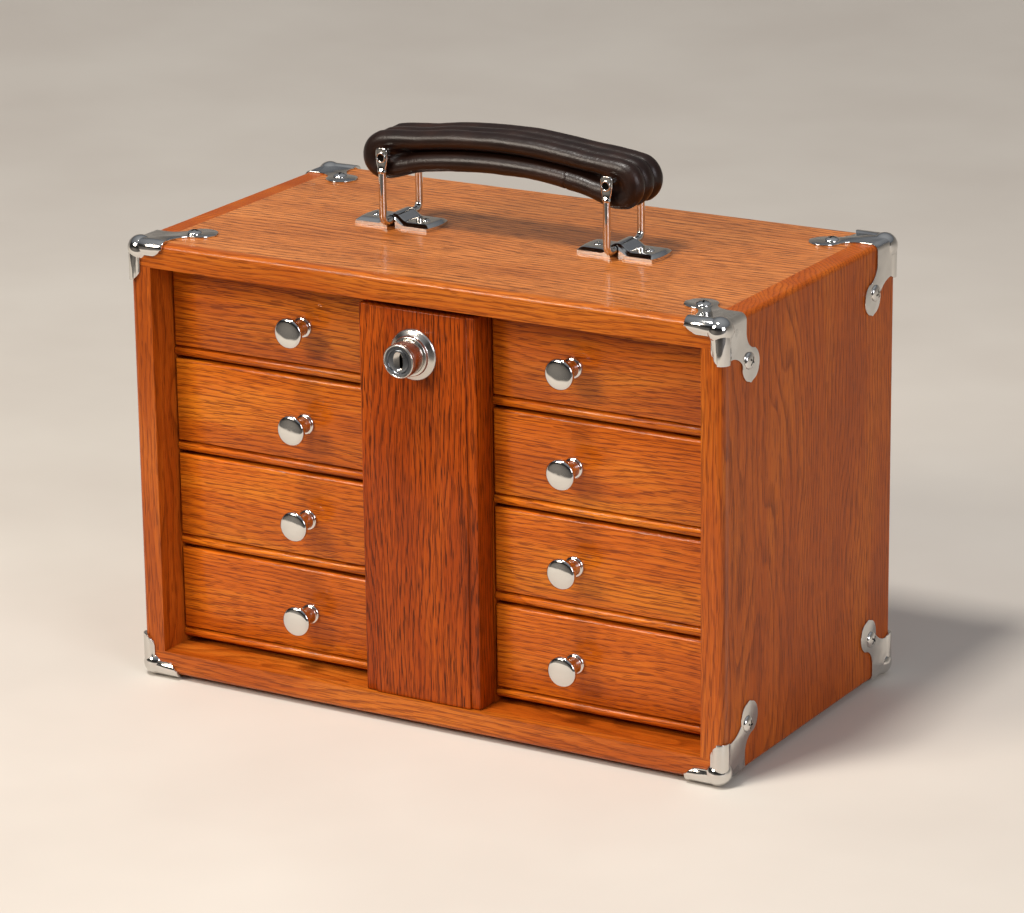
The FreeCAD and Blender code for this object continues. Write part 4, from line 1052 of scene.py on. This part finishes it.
def backdrop():
    """Pale floor that turns up into a wide bowl, so that every view has the same ground."""
    made, tree, shader, place = material("pale matt plaster")
    cloud = node(tree, "ShaderNodeTexNoise", {"Vector": place, "Scale": 6.0, "Detail": 3.0})
    colour = node(tree, "ShaderNodeValToRGB", {"Fac": cloud.outputs["Fac"]}, stops=(
        (0.3, "#CCC4BA"), (0.7, "#D3CCC2")))
    # In front of the chest the floor darkens, so that the knobs have an edge to reflect.
    parts = node(tree, "ShaderNodeSeparateXYZ", {"Vector": place})
    front = node(tree, "ShaderNodeMapRange", {
        "Value": parts.outputs["Y"], "From Min": DARK_FRONT, "From Max": PALE_FRONT},
        interpolation_type="SMOOTHSTEP")
    ground = node(tree, "ShaderNodeMix", {
        "Factor": front.outputs["Result"], 6: linear("#3C3936"), 7: colour.outputs["Color"]},
        data_type="RGBA")
    feed(tree, shader, {"Base Color": ground.outputs[2], "Roughness": 0.7})
    rings = [[Vector((0.0, 0.0, 0.0))]]
    for step in range(BOWL_STEPS + 1):
        radius = FLOOR_RADIUS + (BOWL_RADIUS - FLOOR_RADIUS) * step / BOWL_STEPS
        height = BOWL_BEND - math.sqrt(BOWL_BEND ** 2 - (radius - FLOOR_RADIUS) ** 2)
        rings.append(loop(height, radius, radius, count=BOWL_SIDES))
    mesh = bmesh.new()
    bridge(mesh, [[point / MM for point in ring] for ring in rings])
    for face in mesh.faces:
        face.smooth = True
    data = mesh_data("studio_floor", mesh)
    data.materials.append(made)
    floor = add_object("studio_floor", data)


def studio():
    """Three soft lamps, an air that is dark near the horizon, and the photograph's view."""
    # Air: bright overhead and dark towards the horizon, so that metal has something to show.
    world = bpy.data.worlds.new("soft studio air")
    world.use_nodes = True
    tree = world.node_tree
    way = node(tree, "ShaderNodeTexCoord")
    parts = node(tree, "ShaderNodeSeparateXYZ", {"Vector": way.outputs["Generated"]})
    height = node(tree, "ShaderNodeMapRange", {
        "Value": parts.outputs["Z"], "From Min": -1.0, "From Max": 1.0})
    sky = node(tree, "ShaderNodeValToRGB", {"Fac": height.outputs["Result"]}, stops=(
        (0.0, "#7F7A74"), (0.48, "#5A5753"), (0.60, "#2E2D2F"), (0.72, "#8C9098"),
        (1.0, "#E4E8EE")))
    feed(tree, tree.nodes["Background"], {
        "Color": sky.outputs["Color"], "Strength": AIR_STRENGTH})
    bpy.context.scene.world = world

    for name, place, size, power, colour in LAMPS:
        lamp = bpy.data.lights.new(name, "AREA")
        lamp.size = size
        lamp.energy = power
        lamp.color = linear(colour)[:3]
        item = add_object(name, lamp)
        item.location = place
        aim = Vector(LAMP_AIM) - Vector(place)
        item.rotation_euler = aim.to_track_quat("-Z", "Y").to_euler()

    view = bpy.data.cameras.new("photograph_view")
    view.sensor_width = FILM_WIDTH
    view.lens = FILM_WIDTH * PHOTO_FOCAL / PHOTO_WIDTH
    view.clip_end = VIEW_REACH
    camera = add_object("photograph_view", view)
    camera.location = VIEW_PLACE
    camera.rotation_euler = Euler([math.radians(turn) for turn in VIEW_TURN])
    bpy.context.scene.camera = camera
    bpy.context.scene.view_settings.view_transform = "Standard"


def build():
    """Every piece of the chest with its finish."""
    stamped = nickel("polished nickel on stamped sheet", "#D4D2CE", 0.07, 0.5)
    bright = nickel("polished nickel on turned brass", "#D6D4D0", 0.05, 0.02)
    satin = nickel("satin nickel lock", "#CCC8C2", 0.18, 0.03, 0.12)
    steel = nickel("turned steel", "#A9A7A3", 0.28, 0.04, 0.12)
    # Painted shade: near-black metal put in the rivet bores and the key slot, where only shade
    # falls.
    dark = nickel("painted shade in bores and key slot", "#14110F", 0.6)
    worn = nickel("dulled nickel on the plug", "#74787E", 0.24, 0.05, 0.1)
    heads = screw_tree()
    dress_case()
    dress_drawers(bright, steel, heads)
    lock(satin, dark, worn)
    paint(steel, "lock_cam", "lock_nut", "bar_pins")
    brackets(stamped)
    bracket_heads(heads, bright)
    handle_plates(bright)
    for side in ("left", "right"):
        bail(side, bright)
    rivets(bright, dark)
    leather_grip(leather())
    backdrop()
    studio()


build()
